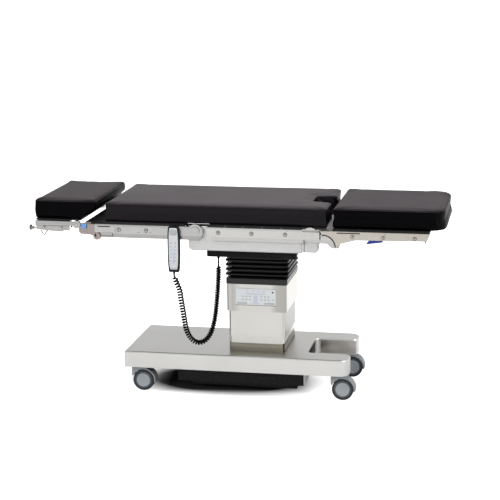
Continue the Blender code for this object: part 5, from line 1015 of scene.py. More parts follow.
# Pads
@dataclass
class Cushions:
    """The head, main and leg cushions, stuffed firm, with a welt sewn round each top edge."""

    half_width: float = 0.2700
    top: float = 0.9045
    leg_top: float = 0.9065
    head_top: float = 0.9120
    edge: float = 0.010
    edge_shape: tuple[Place, ...] = ((0.55, 0.12), (0.2, 0.45), (0.0, 1.0))
    under_edge: float = 0.3
    draw: float = 0.003
    voxel: float = 0.006
    pressure: float = 4.0
    cap: float = 0.0045
    soften: float = 0.5
    soften_steps: int = 5
    held_depth: float = 0.006
    frames: int = 20
    cloth_quality: int = 4
    welt_radius: float = 0.0012
    welt_lift: float = 0.35
    welt_drop: float = 0.4
    plan_corner: float = 0.009
    fold: tuple[Point, Point] = ((-0.090, 0.0, 0.86), (-0.254, 0.0, 0.86))
    main_left: float = -0.604
    main_right: float = 0.4265
    main_low: float = 0.8178
    notch_left: float = 0.335
    notch_half: float = 0.066
    notch_mouth: float = 0.092
    leg_left: float = 0.4495
    leg_right: float = 0.9545
    leg_low: float = 0.8153
    leg_corner: float = 0.080
    head_left: float = -0.939
    head_right: float = -0.643
    head_low: float = 0.8238
    head_draw: float = 0.006
    head_undercut: float = 0.074
    head_right_turn: float = 0.872
    head_left_turn: float = 0.862

    def build(self) -> None:
        self.main_pad()
        self.leg_pad()
        self.head_pad()

    def block(self, name: str, outline: Sequence[Vector], low: float, top: float) -> bpy.types.Object:
        """Make a cushion's cut shape from its plan: soft edges and drawn-in sides."""
        soft, edge = self.edge * self.under_edge, self.edge
        levels = [(low, soft), (low + soft, 0.0), ((low + top) / 2.0, self.draw), (top - edge, 0.0)]
        levels += [(top - edge * down, edge * inwards) for down, inwards in self.edge_shape]
        rings = [[(p.x, p.y, z) for p in inset(outline, d)] for z, d in levels]
        return lofted(name, rings)

    def swell(self, piece: bpy.types.Object, low: float) -> None:
        """Stuff a cushion: even quads, then cloth under inner pressure with its underside held."""
        change = piece.modifiers.new("even", "REMESH")
        change.mode = "VOXEL"
        change.voxel_size = self.voxel
        smooth = piece.modifiers.new("soften", "SMOOTH")
        smooth.factor = self.soften
        smooth.iterations = self.soften_steps
        finish_modifiers(piece)
        self.inflate(piece, low)
        piece.data.shade_smooth()

    def inflate(self, piece: bpy.types.Object, low: float) -> None:
        """Run the cloth and keep its result, with a cap on how far a point moves."""
        before = [v.co.copy() for v in piece.data.vertices]
        held = piece.vertex_groups.new(name="held")
        held.add([i for i, p in enumerate(before) if p.z < low + self.held_depth], 1.0, "REPLACE")
        cloth = piece.modifiers.new("stuffing", "CLOTH")
        settings = cloth.settings
        settings.vertex_group_mass = "held"
        settings.use_pressure = True
        settings.uniform_pressure_force = self.pressure
        settings.effector_weights.gravity = 0.0
        settings.quality = self.cloth_quality
        scene = bpy.context.scene
        for step in range(1, self.frames + 1):
            scene.frame_set(step)
        shaped = piece.evaluated_get(bpy.context.evaluated_depsgraph_get()).data
        after = [v.co.copy() for v in shaped.vertices]
        piece.modifiers.remove(cloth)
        scene.frame_set(1)
        for vertex, start, end in zip(piece.data.vertices, before, after):
            move = end - start
            if move.length > self.cap:
                move *= self.cap / move.length
            vertex.co = start + move
        piece.vertex_groups.remove(held)
        piece.data.update()

    def welt(self, name: str, pad: bpy.types.Object, outline: Iterable[Point]) -> bpy.types.Object:
        """Lay a sewn welt round a cushion, on its surface near the given loop."""
        tree = BVHTree.FromObject(pad, bpy.context.evaluated_depsgraph_get())
        line = []
        for point in outline:
            place, normal, _, _ = tree.find_nearest(Vector(point))
            line.append(place + normal * self.welt_radius * self.welt_lift)
        for _ in range(2):
            ahead = [*line[1:], line[0]]
            line = [(line[i - 1] + line[i] * 2.0 + ahead[i]) / 4.0 for i in range(len(line))]
        curve = bpy.data.curves.new(name, "CURVE")
        curve.dimensions = "3D"
        spline = curve.splines.new("POLY")
        spline.points.add(len(line) - 1)
        for target, point in zip(spline.points, line):
            target.co = (*point, 1.0)
        spline.use_cyclic_u = True
        curve.bevel_depth = self.welt_radius
        curve.bevel_resolution = 2
        piece = bpy.data.objects.new(name, curve)
        bpy.context.scene.collection.objects.link(piece)
        only(piece)
        bpy.ops.object.convert(target="MESH")
        piece = bpy.context.object
        piece.data.shade_smooth()
        WELT_VINYL.dress(piece)
        return piece

    def close(self, pad: bpy.types.Object, welt: bpy.types.Object) -> None:
        """Log how many faces a cushion has."""
        log.info("%s: %d faces", pad.name, len(pad.data.polygons))

    def rim(self, outline: Sequence[Vector], top: float, spacing: float = 0.010) -> list[Point]:
        """Spread points evenly round an outline, at the height of the welt below this top."""
        height = top - self.edge * self.welt_drop
        made = []
        for i, here in enumerate(outline):
            ahead = outline[(i + 1) % len(outline)]
            count = max(1, int((ahead - here).length / spacing))
            for k in range(count):
                p = here.lerp(ahead, k / count)
                made.append((p.x, p.y, height))
        return made

    def main_pad(self) -> None:
        """The long cushion over seat and back, notched at its foot end."""
        wide, notch, mouth = self.half_width, self.notch_half, self.notch_mouth
        corners = (
            (self.main_left, -wide),
            (self.main_right, -wide),
            (self.main_right, -mouth),
            (self.notch_left, -notch),
            (self.notch_left, notch),
            (self.main_right, mouth),
            (self.main_right, wide),
            (self.main_left, wide),
        )
        plan = self.plan_corner
        outline = rounded(corners, (plan, plan, 0.008, 0.016, 0.016, 0.008, plan, plan), 4)
        pad = self.block("main_cushion", outline, self.main_low, self.top)
        self.swell(pad, self.main_low)
        welt = self.welt("main_cushion_welt", pad, self.rim(outline, self.top))
        PAD_VINYL.dress(pad)
        for piece in (pad, welt):
            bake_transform(piece)
        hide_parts("seat_pad", "pad_fold", "back_pad")
        self.close(pad, welt)

    def leg_pad(self) -> None:
        """The leg cushion, with large plan corners at its foot end."""
        wide, left, right = self.half_width, self.leg_left, self.leg_right
        plan, end = self.plan_corner, self.leg_corner
        corners = ((left, -wide), (right, -wide), (right, wide), (left, wide))
        outline = rounded(corners, (plan, end, end, plan), 10)
        pad = self.block("leg_cushion", outline, self.leg_low, self.leg_top)
        self.swell(pad, self.leg_low)
        welt = self.welt("leg_cushion_welt", pad, self.rim(outline, self.leg_top))
        DARK_VINYL.dress(pad)
        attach(pad, "leg")
        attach(welt, "leg")
        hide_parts("leg_pad")
        self.close(pad, welt)

    def head_pad(self) -> None:
        """The head cushion, undercut towards its hinge and drawn in at the head end."""
        left, right, low, top = self.head_left, self.head_right, self.head_low, self.head_top
        corners = (
            (left + self.head_draw, low),
            (right - self.head_undercut, low),
            (right, self.head_right_turn),
            (right, top),
            (left, top),
            (left, self.head_left_turn),
        )
        outline = rounded(corners, (0.004, 0.006, 0.010, 0.010, 0.010, 0.010), 4)
        wide, edge, plan = self.half_width, self.edge, self.plan_corner
        stations = [
            (-wide, edge),
            (-wide + edge * 0.2, edge * 0.45),
            (-wide + edge * 0.54, edge * 0.12),
            (-wide + edge, 0.0),
        ]
        stations += [(-y, d) for y, d in reversed(stations)]
        rings = [[(p.x, y, p.y) for p in inset(outline, d)] for y, d in stations]
        pad = lofted("head_cushion", rings)
        self.swell(pad, low)
        outline = rounded(((left, -wide), (right, -wide), (right, wide), (left, wide)), (plan,) * 4, 4)
        welt = self.welt("head_cushion_welt", pad, self.rim(outline, top))
        DARK_VINYL.dress(pad)
        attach(pad, "head")
        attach(welt, "head")
        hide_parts("head_pad")
        self.close(pad, welt)


# Curly cord
@dataclass
class CurlyCord:
    """The hand control's curly cord, from the gland under the carriage to the strain relief."""

    radius: float = 0.0040
    coil_radius: float = 0.0102
    tight_radius: float = 0.0088
    loose_pitch: float = 0.0137
    tight_pitch: float = 0.0112
    points_per_curl: int = 14
    sides: int = 8
    ramp: float = 0.014
    tight_from: float = 0.28
    tight_over: float = 0.16
    path_steps: int = 14
    start: Point = (-0.3527, -0.3110, 0.5887)
    end: Point = (-0.178, -0.158, 0.6384)
    start_lead: float = 0.010
    end_lead: float = 0.034
    route: tuple[Point, ...] = (
        (-0.3505, -0.3110, 0.577),
        (-0.3440, -0.3100, 0.555),
        (-0.3300, -0.3070, 0.518),
        (-0.3255, -0.3025, 0.479),
        (-0.3214, -0.2967, 0.440),
        (-0.3171, -0.2897, 0.400),
        (-0.3135, -0.2818, 0.360),
        (-0.3080, -0.2730, 0.320),
        (-0.2960, -0.2650, 0.288),
        (-0.2780, -0.2571, 0.265),
        (-0.2547, -0.2503, 0.256),
        (-0.2307, -0.2430, 0.263),
        (-0.2110, -0.2339, 0.284),
        (-0.1975, -0.2239, 0.316),
        (-0.1885, -0.2125, 0.356),
        (-0.1835, -0.2001, 0.404),
        (-0.1808, -0.1890, 0.4525),
        (-0.1785, -0.1797, 0.5014),
        (-0.1772, -0.1690, 0.551),
    )

    def smooth(self, points: Sequence[Vector], steps: int) -> list[Vector]:
        """Run a Catmull-Rom path through points."""
        ends = [points[0] * 2.0 - points[1], *points, points[-1] * 2.0 - points[-2]]
        made = []
        for a, b, c, d in zip(ends, ends[1:], ends[2:], ends[3:]):
            for k in range(steps):
                t = k / steps
                bend = (2.0 * a - 5.0 * b + 4.0 * c - d) * t * t
                turn = (3.0 * b - a - 3.0 * c + d) * t**3
                made.append(0.5 * (2.0 * b + (c - a) * t + bend + turn))
        return [*made, points[-1]]

    def path(self) -> list[Vector]:
        """Return the wire's centreline: a straight lead, the curls, and a straight lead."""
        start, end = Vector(self.start), Vector(self.end)
        down, drop = Vector((0.0, 0.0, self.start_lead)), Vector((0.0, 0.0, self.end_lead))
        points = [start - down, *[Vector(p) for p in self.route], end - drop]
        route = self.smooth(points, self.path_steps)
        lengths = [0.0]
        for a, b in zip(route, route[1:]):
            lengths.append(lengths[-1] + (b - a).length)
        total = lengths[-1]
        across = Vector((0.0, 1.0, 0.0))
        made = [start, start - down * 0.5]
        phase = following = 0.0
        step = 2.0 * math.pi / self.points_per_curl
        for i, (here, there) in enumerate(zip(route, route[1:])):
            forward = (there - here).normalized()
            across = (across - forward * across.dot(forward)).normalized()
            other = forward.cross(across)
            share = min(max((lengths[i] / total - self.tight_from) / self.tight_over, 0.0), 1.0)
            share *= share * (3.0 - 2.0 * share)
            pitch = self.loose_pitch + (self.tight_pitch - self.loose_pitch) * share
            radius = self.coil_radius + (self.tight_radius - self.coil_radius) * share
            gain = 2.0 * math.pi * (there - here).length / pitch
            while following <= phase + gain:
                part = (following - phase) / gain
                along = lengths[i] + (there - here).length * part
                ramp = min(along / self.ramp, (total - along) / self.ramp, 1.0)
                swing = radius * ramp * ramp * (3.0 - 2.0 * ramp)
                turned = math.cos(following) * across + math.sin(following) * other
                made.append(here.lerp(there, part) + swing * turned)
                following += step
            phase += gain
        made += [end - drop * 0.5, end]
        return [p + Vector((COLUMN_X, 0.0, 0.0)) for p in made]

    def build(self) -> None:
        path = self.path()
        across = Vector((0.0, 1.0, 0.0))
        angles = [2.0 * math.pi * k / self.sides for k in range(self.sides)]
        rings = []
        for i, point in enumerate(path):
            forward = (path[min(i + 1, len(path) - 1)] - path[max(i - 1, 0)]).normalized()
            across = (across - forward * across.dot(forward)).normalized()
            other = forward.cross(across)
            rings.append([point + self.radius * (math.cos(a) * across + math.sin(a) * other) for a in angles])
        cord = lofted("curly_cord", rings)
        cord.data.shade_smooth()
        CORD_RUBBER.dress(cord)
        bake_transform(cord)
        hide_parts("handset_cord")


# Hand control
@dataclass
class HandControl:
    """The hand control that hooks over the near back rail: a black shell round a pale keypad."""

    middle_x: float = -0.267
    back_y: float = -0.2995
    front_y: float = -0.3205
    widest: float = 0.0278
    rise: tuple[Place, ...] = ((0.780, 0.0268), (0.798, 0.0254), (0.8075, 0.0238), (0.812, 0.0212))
    fall: tuple[Place, ...] = ((0.640, 0.0266), (0.618, 0.0252), (0.607, 0.0238), (0.601, 0.0212))
    straight: Place = (0.680, 0.745)
    rim: float = 0.0062
    face_share: float = 0.966
    key_rows: int = 6
    key_low: float = 0.654
    key_pitch: float = 0.0165
    key_shift: float = 0.0215
    film: float = 0.0004
    tiles: tuple[tuple[str, Place, Place, Finish], ...] = (
        ("display", (-0.0172, 0.7720), (0.0172, 0.7990), DISPLAY_GLASS),
        ("foot_strip", (-0.0150, 0.6135), (0.0150, 0.6235), KEY_GREY),
        ("middle_strip", (-0.0030, 0.640), (0.0055, 0.710), KEY_BLUE),
    )

    def barrel(self, name: str, margin: float, back: float, front: float, soft: float) -> Work:
        """Shape the barrel outline at a margin: extruded up and down from its widest stretch.

        Args:
            name: The piece's name.
            margin: How far inside the shell's outline it stays.
            back: Its back plane's Y.
            front: Its front plane's Y.
            soft: How far its front edges are rounded.

        Returns:
            The piece, still open.
        """
        half = self.widest - margin
        low, high = self.straight
        x = self.middle_x
        work = Work.block(name, (x - half, front, low), (x + half, back, high))
        for sign, start, levels in ((1.0, high, self.rise), (-1.0, low, self.fall)):
            work.looking("Z", sign)
            at, wide = start, half
            for level, reach in levels:
                z, to = level - sign * margin, reach - margin
                work.extrude((0.0, 0.0, z - at), (to / wide, 1.0, 1.0), (x, 0.0, 0.0))
                at, wide = z, to
        return work.front(front + TOUCH).bevel(soft, 4)

    def build(self) -> None:
        """Make the shell, its hook and strain relief, the keypad and the display."""
        x, front, film = self.middle_x, self.front_y, self.front_y - self.film
        shell = self.barrel("hand_control_shell", 0.0, self.back_y, front, 0.0034).close(SHELL_PLASTIC)
        work = Work.block("hook", (x - 0.018, self.back_y - 0.003, 0.8087), (x + 0.018, -0.2918, 0.8148))
        hook = work.every().bevel(0.0012, 2).close(SHELL_PLASTIC)
        middle = (x - 0.0007, -0.311, 0.5965)
        work = Work.bar("relief", middle, 0.0060, 0.0145, "Z", 24)
        relief = work.looking("Z", -1.0).resize((0.68, 0.68, 1.0), middle).close(SHELL_PLASTIC)
        shell = joined("hand_control_shell", shell, hook, relief)
        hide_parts("handset")
        work = self.barrel("hand_control_keypad", self.rim, front + 0.002, film, self.film)
        bpy.ops.mesh.select_all(action="SELECT")
        work.resize((1.0, 1.0, self.face_share), (x, 0.0, self.rise[-1][0] - self.rim))
        plate = work.close(FACE_FILM)
        pieces = [shell, plate, *self.keys(film)]
        for piece in pieces:
            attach(piece, "back")
        log.info("hand control: %d pieces", len(pieces))

    def keys(self, front: float) -> list[bpy.types.Object]:
        """Make the display, the strips and the two columns of keys."""
        x, low = self.middle_x, self.key_low
        made = []
        for name, start, end, finish in self.tiles:
            corners = (x + start[0], start[1]), (x + end[0], end[1])
            made.append(self.tile(f"hand_control_{name}", *corners, front, finish))
        corners = (x - 0.0150, low - 0.0040), (x - 0.0085, low + 0.0040)
        key = self.tile("hand_control_key_left_1", *corners, front, KEY_GREY)
        for side, shift in (("left", 0.0), ("right", self.key_shift)):
            for row in range(self.key_rows):
                name = f"hand_control_key_{side}_{row + 1}"
                move = (shift, 0.0, row * self.key_pitch)
                made.append(key if name == key.name else copied(key, name, move))
        return made

    def tile(self, name: str, low: Place, high: Place, front: float, finish: Finish) -> bpy.types.Object:
        """Make a thin raised tile with round corners and a soft edge.

        Args:
            name: The tile's name.
            low: Its lowest X and Z.
            high: Its highest X and Z.
            front: The face that it lies on.
            finish: Its finish.

        Returns:
            The tile.
        """
        work = Work.block(name, (low[0], front - 0.0005, low[1]), (high[0], front + 0.0004, high[1]))
        corner = min(high[0] - low[0], high[1] - low[1]) * 0.32
        return work.along("Y").bevel(corner, 4).front(front).bevel(0.00025, 2).close(finish)


# Control panel
@dataclass
class ControlPanel:
    """The keys and printed marks on the column's control panel, in a generic layout, and a painted shadow
    under it.
    """

    face_y: float = -0.1663
    middle_x: float = 0.082
    proud: float = 0.0005
    marks: tuple[tuple[str, Place, Place, Finish], ...] = (
        ("top_picture", (0.0, 0.4760), (0.094, 0.0085), PANEL_BLUE),
        ("column_picture", (0.0, 0.4520), (0.020, 0.0340), PANEL_VIOLET),
        ("foot_picture", (0.0, 0.4320), (0.036, 0.0060), PANEL_VIOLET),
        # Painted shadow: a dark line under the panel's lower edge
        ("lower_edge", (0.0, 0.4210), (0.1880, 0.0016), PANEL_DARK),
        ("lamp", (0.0800, 0.4850), (0.0075, 0.0075), PANEL_DARK),
        ("switch", (0.0800, 0.4500), (0.0060, 0.0060), PANEL_GREY),
    )

    def mark(self, name: str, place: Place, size: Place, finish: Finish) -> bpy.types.Object:
        """Raise a rounded mark on the panel.

        Args:
            name: The mark's name, after the panel's.
            place: Its middle, X from the panel's middle and Z.
            size: Its width and height.
            finish: Its finish.

        Returns:
            The mark.
        """
        x, z = self.middle_x + place[0], place[1]
        wide, high = size[0] / 2.0, size[1] / 2.0
        low = (x - wide, self.face_y - self.proud, z - high)
        work = Work.block(f"panel_{name}", low, (x + wide, self.face_y + 0.0004, z + high))
        work.along("Y").bevel(min(size) * 0.28, 3).front(self.face_y).bevel(0.0002, 1)
        made = work.close(finish)
        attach(made, "upper_stage")
        return made

    def build(self) -> None:
        """Make the table pictogram, its keys, the lamp and the two grey strips."""
        for mark in self.marks:
            self.mark(*mark)
        for tag, side in (("left", -1.0), ("right", 1.0)):
            self.mark(f"strip_{tag}", (side * 0.0640, 0.4310), (0.0480, 0.0085), PANEL_GREY)
            for column in range(3):
                for row in range(2):
                    place = (side * (0.0270 + 0.0165 * column), 0.4630 - 0.0145 * row)
                    self.mark(f"key_{tag}_{column + 1}_{row + 1}", place, (0.0085, 0.0065), KEY_GREY)
            for column in range(2):
                place = (side * (0.0120 + 0.0260 * column), 0.4890)
                self.mark(f"upper_key_{tag}_{column + 1}", place, (0.0080, 0.0050), KEY_BLUE)
        log.info("control panel: marks and keys made")


# Bellows
@dataclass
class Bellows:
    """The folded rubber skirt over the tilt joint, split at the joint's height into two halves."""

    middle: Place = (0.085, 0.0)
    half_x: float = 0.149
    half_y: float = 0.160
    depth: float = 0.026
    corner: float = 0.016
    first_fold: float = 0.5630
    pitch: float = 0.02177
    low: float = 0.5475
    high: float = 0.6465
    first_level: float = 0.0008
    margin: float = 0.004
    gap: float = 0.003
    lip: tuple[Place, ...] = (
        (-0.38, 1.0), (-0.31, 0.62), (-0.25, 0.22), (-0.18, 0.05), (0.0, 0.0),
        (0.18, 0.05), (0.25, 0.22), (0.31, 0.62), (0.38, 1.0), (0.5, 1.0),
    )

    def levels(self, folds: Sequence[int]) -> list[Place]:
        """Return height and depth at each level of these folds."""
        made = []
        for fold in folds:
            centre = self.first_fold + fold * self.pitch
            made += [(centre + share * self.pitch, self.depth * inward) for share, inward in self.lip]
        return made

    def half(
        self, name: str, start: float, levels: Sequence[Place], end: float, entry: float
    ) -> bpy.types.Object:
        """Extrude one half of the skirt upwards, level by level.

        Args:
            name: The piece's name.
            start: Its lowest Z.
            levels: Height and depth of each level.
            end: Its highest Z.
            entry: The depth at its foot.

        Returns:
            The piece.
        """
        x, y = self.middle
        wide, long = self.half_x - entry, self.half_y - entry
        at = start + self.first_level
        work = Work.block(name, (x - wide, y - long, start), (x + wide, y + long, at))
        work.along("Z").bevel(self.corner, 6).looking("Z", 1.0)
        for level, inward in (*levels, (end, levels[-1][1])):
            factors = ((self.half_x - inward) / wide, (self.half_y - inward) / long, 1.0)
            work.extrude((0.0, 0.0, level - at), factors, (x, y, 0.0))
            at, wide, long = level, self.half_x - inward, self.half_y - inward
        return work.close(BELLOWS_RUBBER, 60.0)

    def build(self) -> None:
        """Make both halves."""
        split = self.first_fold + 1.5 * self.pitch
        lower = self.half("bellows_lower", self.low, self.levels((0, 1))[:-1], split, self.depth * 0.5)
        upper = self.half("bellows_upper", split, self.levels((2, 3))[:-2], self.high, self.depth)
        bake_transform(lower)
        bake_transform(upper)
        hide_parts("bellows")
        log.info("bellows: two halves, four folds")


# Casters
@dataclass
class Casters:
    """The wheels of the twin wheel casters: tyres, rims and caps."""

    head_x: float = -0.449
    foot_x: float = 0.494
    across: float = 0.187
    radius: float = 0.050
    outer: float = 0.028
    inner: float = 0.009
    rim: float = 0.0405
    cap: float = 0.033
    sleeve: float = 0.0165
    shoulder: float = 0.0045

    def wheel(self) -> tuple[bpy.types.Object, bpy.types.Object, bpy.types.Object]:
        """Model the outer wheel at the head end's near corner: its tyre, rim and cap."""
        x, z = self.head_x, self.radius
        face = -self.across - self.outer
        width = self.outer - self.inner
        work = Work.bar("tyre", (x, face + width / 2.0, z), self.radius, width, "Y", 64)
        work.across("Y").bevel(self.shoulder, 4).looking("Y", -1.0, SQUARE)
        work.inset(self.radius - self.shoulder - self.rim).inset(0.0004, -0.0022)
        tyre = work.close(TYRE_RUBBER)
        work = Work.bar("rim", (x, face + 0.006, z), self.rim - 0.0006, 0.010, "Y", 64)
        work.front(face + 0.002).bevel(0.0016, 3).looking("Y", -1.0, SQUARE)
        rim = work.inset(0.0035).inset(0.0006, -0.0012).close(RIM_PLASTIC)
        work = Work.bar("cap", (x, face + 0.0035, z), self.cap, 0.009, "Y", 64)
        work.front(face).bevel(0.0030, 4).looking("Y", -1.0, SQUARE)
        cap = work.inset(0.0040).inset(0.0010, -0.0005).close(CAP_PLASTIC)
        return tyre, rim, cap

    def build(self) -> None:
        """Pair the wheels, then copy the pair to every corner."""
        x, y, z = self.head_x, -self.across, self.radius
        pairs = []
        for kind, piece in zip(("tyres", "rims", "caps"), self.wheel()):
            name = f"caster_{kind}_pair_head_near"
            parts = [piece, mirrored(piece, kind, 1, y)]
            if kind == "tyres":
                work = Work.bar("sleeve", (x, y, z), self.sleeve, 2.0 * self.inner + 0.002, "Y", 32)
                parts.append(work.across("Y").bevel(0.0004, 1).close(TYRE_RUBBER))
            pairs.append(joined(name, *parts))
        for tag, place in (("foot", self.foot_x), ("head", self.head_x)):
            for side, sign in (("far", 1.0), ("near", -1.0)):
                move = (place - self.head_x, (sign + 1.0) * self.across, 0.0)
                for kind, pair in zip(("tyres", "rims", "caps"), pairs):
                    name = f"caster_{kind}_pair_{tag}_{side}"
                    own = pair if (tag, side) == ("head", "near") else copied(pair, name, move)
                    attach(own, f"caster_wheel_{tag}_{side}")
                    if kind == "tyres":
                        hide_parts(f"caster_tyres_{tag}_{side}")
                    if kind == "caps":
                        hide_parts(f"caster_hub_{tag}_{side}")
        log.info("casters: four pairs of wheels")


# Screws
@dataclass
class RailScrews:
    """The socket screws along the rails, modelled once and copied, each over a black disc of painted shade.
    """

    height: float = 0.786
    face: float = RAIL_FACE
    radius: float = 0.0074
    socket: float = 0.0032
    cup: float = 0.0092
    soft: float = 0.0006
    proud: float = 0.0008
    rows: tuple[tuple[str, tuple[float, ...]], ...] = (
        ("seat", (-0.064, 0.089, 0.242)),
        ("back", (-0.527, -0.399)),
        ("leg", (0.545, 0.681, 0.820)),
    )

    def build(self) -> None:
        """Model one screw, then copy it along each rail on both sides."""
        work = Work.bar("rail_screw", (0.0, -self.face + 0.001, self.height), self.radius, 0.0020, "Y", 24)
        work.front(-self.face + 0.0005).bevel(self.soft, 2).looking("Y", -1.0, SQUARE)
        work.inset(self.radius - self.soft - self.socket).inset(0.0002, -0.0012)
        screw = work.close(SCREW_STEEL)
        back = mirrored(screw, "rail_screw_far", 1, 0.0)
        # Painted shade: a black disc behind each screw shows as a dark ring round its head, where its recess
        # is in shade
        work = Work.bar("screw_cup", (0.0, -self.face, self.height), self.cup, 0.0008, "Y", 24)
        cup = work.front(-self.face).bevel(0.0003, 1).close(BLACK_PAINT)
        far_shade_disc = mirrored(cup, "screw_cup_far", 1, 0.0)
        sides = (("near", screw, cup, -self.proud), ("far", back, far_shade_disc, self.proud))
        for body, places in self.rows:
            for i, x in enumerate(places):
                for side, model, ring, out in sides:
                    made = copied(model, f"{body}_rail_screw_{side}_{i + 1}", (x, out, 0.0))
                    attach(made, body)
                    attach(copied(ring, f"{body}_rail_screw_cup_{side}_{i + 1}", (x, 0.0, 0.0)), body)
        for model in (screw, back, cup, far_shade_disc):
            bpy.data.objects.remove(model)
        log.info("rail screws: %d", 2 * sum(len(places) for _, places in self.rows))


# Small fittings on the rails
@dataclass(frozen=True)
class Strip:
    """A thin block with soft edges, given for the near side by its distance from the middle plane."""

    name: str
    along: Place
    out: Place
    up: Place
    soft: float
    body: str
    finish: Finish = BLACK_PLASTIC

    def add(self, side: str, sign: float) -> None:
        """Add the strip on one side of the table."""
        inner, outer = sorted((sign * self.out[0], sign * self.out[1]))
        low, high = (self.along[0], inner, self.up[0]), (self.along[1], outer, self.up[1])
        trim(self.name.replace("*", side), low, high, self.soft, self.finish, self.body)


@dataclass(frozen=True)
class Stud:
    """A round stud, across the rail or along it; soft is its rims' width, 0 for a quarter radius."""

    name: str
    place: Point
    radius: float
    length: float
    body: str
    finish: Finish = BLACK_PLASTIC
    axis: str = "Y"
    soft: float = 0.0
    rings: int = 2
    steps: int = 20
    stretch: float = 1.0

    def add(self, side: str, sign: float) -> None:
        """Add the stud on one side of the table."""
        x, y, z = self.place
        work = Work.bar(
            self.name.replace("*", side), (x, sign * y, z), self.radius, self.length, self.axis, self.steps
        )
        if self.stretch != 1.0:
            bpy.ops.mesh.select_all(action="SELECT")
            work.resize((1.0, 1.0, self.stretch), (x, 0.0, z))
        work.across(self.axis).bevel(self.soft or self.radius * 0.25, self.rings)
        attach(work.close(self.finish), self.body)


def trim(name: str, low: Point, high: Point, soft: float, finish: Finish, body: str) -> None:
    """Add a thin block with rounded edges that rides on a body."""
    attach(Work.block(name, low, high).every().bevel(soft, 2).close(finish), body)


# How far from the middle plane the seams and the slots' painted shade on the rails start and end
SEAM_DEPTH = (0.297, 0.2982)
SLOT_SHADE_DEPTH = (0.2946, 0.2983)

STRIPS = (
    # Painted shade: black strips in the rail slots, where the slots are in shade
    Strip("leg_slot_liner_*", (0.4744, 0.5766), SLOT_SHADE_DEPTH, (0.7984, 0.8032), 0.0003, "leg"),
    Strip("back_slot_liner_*", (-0.6266, -0.5694), SLOT_SHADE_DEPTH, (0.7966, 0.8012), 0.0003, "back"),
    Strip("latch_tongue_*", (0.3972, 0.4008), (0.297, 0.2988), (0.7860, 0.7970), 0.0005, "leg"),
    Strip("head_rail_seam_*", (-0.9215, -0.7640), SEAM_DEPTH, (0.7950, 0.7964), 0.0002, "head"),
    Strip(
        "head_rail_groove_*", (-0.9235, -0.7640), SEAM_DEPTH, (0.8068, 0.8076), 0.0002, "head", HINGE_STEEL
    ),
    Strip("coupling_line_*_1", (-0.6240, -0.5560), SEAM_DEPTH, (0.7700, 0.7710), 0.0002, "back"),
    Strip("coupling_line_*_2", (-0.6120, -0.5560), SEAM_DEPTH, (0.7538, 0.7548), 0.0002, "back"),
    Strip("coupling_line_*_3", (-0.5580, -0.5562), SEAM_DEPTH, (0.7538, 0.7710), 0.0002, "back"),
    Strip("leg_end_peg_*", (0.8655, 0.8700), (0.2900, 0.2975), (0.7650, 0.7755), 0.0006, "leg"),
    Strip("seat_rail_mark_*", (0.3221, 0.3243), (0.297, 0.2984), (0.8015, 0.8065), 0.0003, "seat"),
    Strip("end_block_seam_*", (0.3234, 0.3258), (0.2700, 0.2712), (0.7060, 0.7475), 0.0002, "seat"),
    Strip("hinge_backing_*", (0.3895, 0.4130), (0.2640, 0.2708), (0.7800, 0.8062), 0.0010, "seat", LEG_STEEL),
    # Painted shade: a black plate in the gap under the pads at the back hinge
    Strip(
        "fold_lining_*", (-0.2212, -0.1125), (0.2560, 0.2640), (0.7900, 0.8168), 0.0020, "seat", BLACK_PAINT
    ),
)
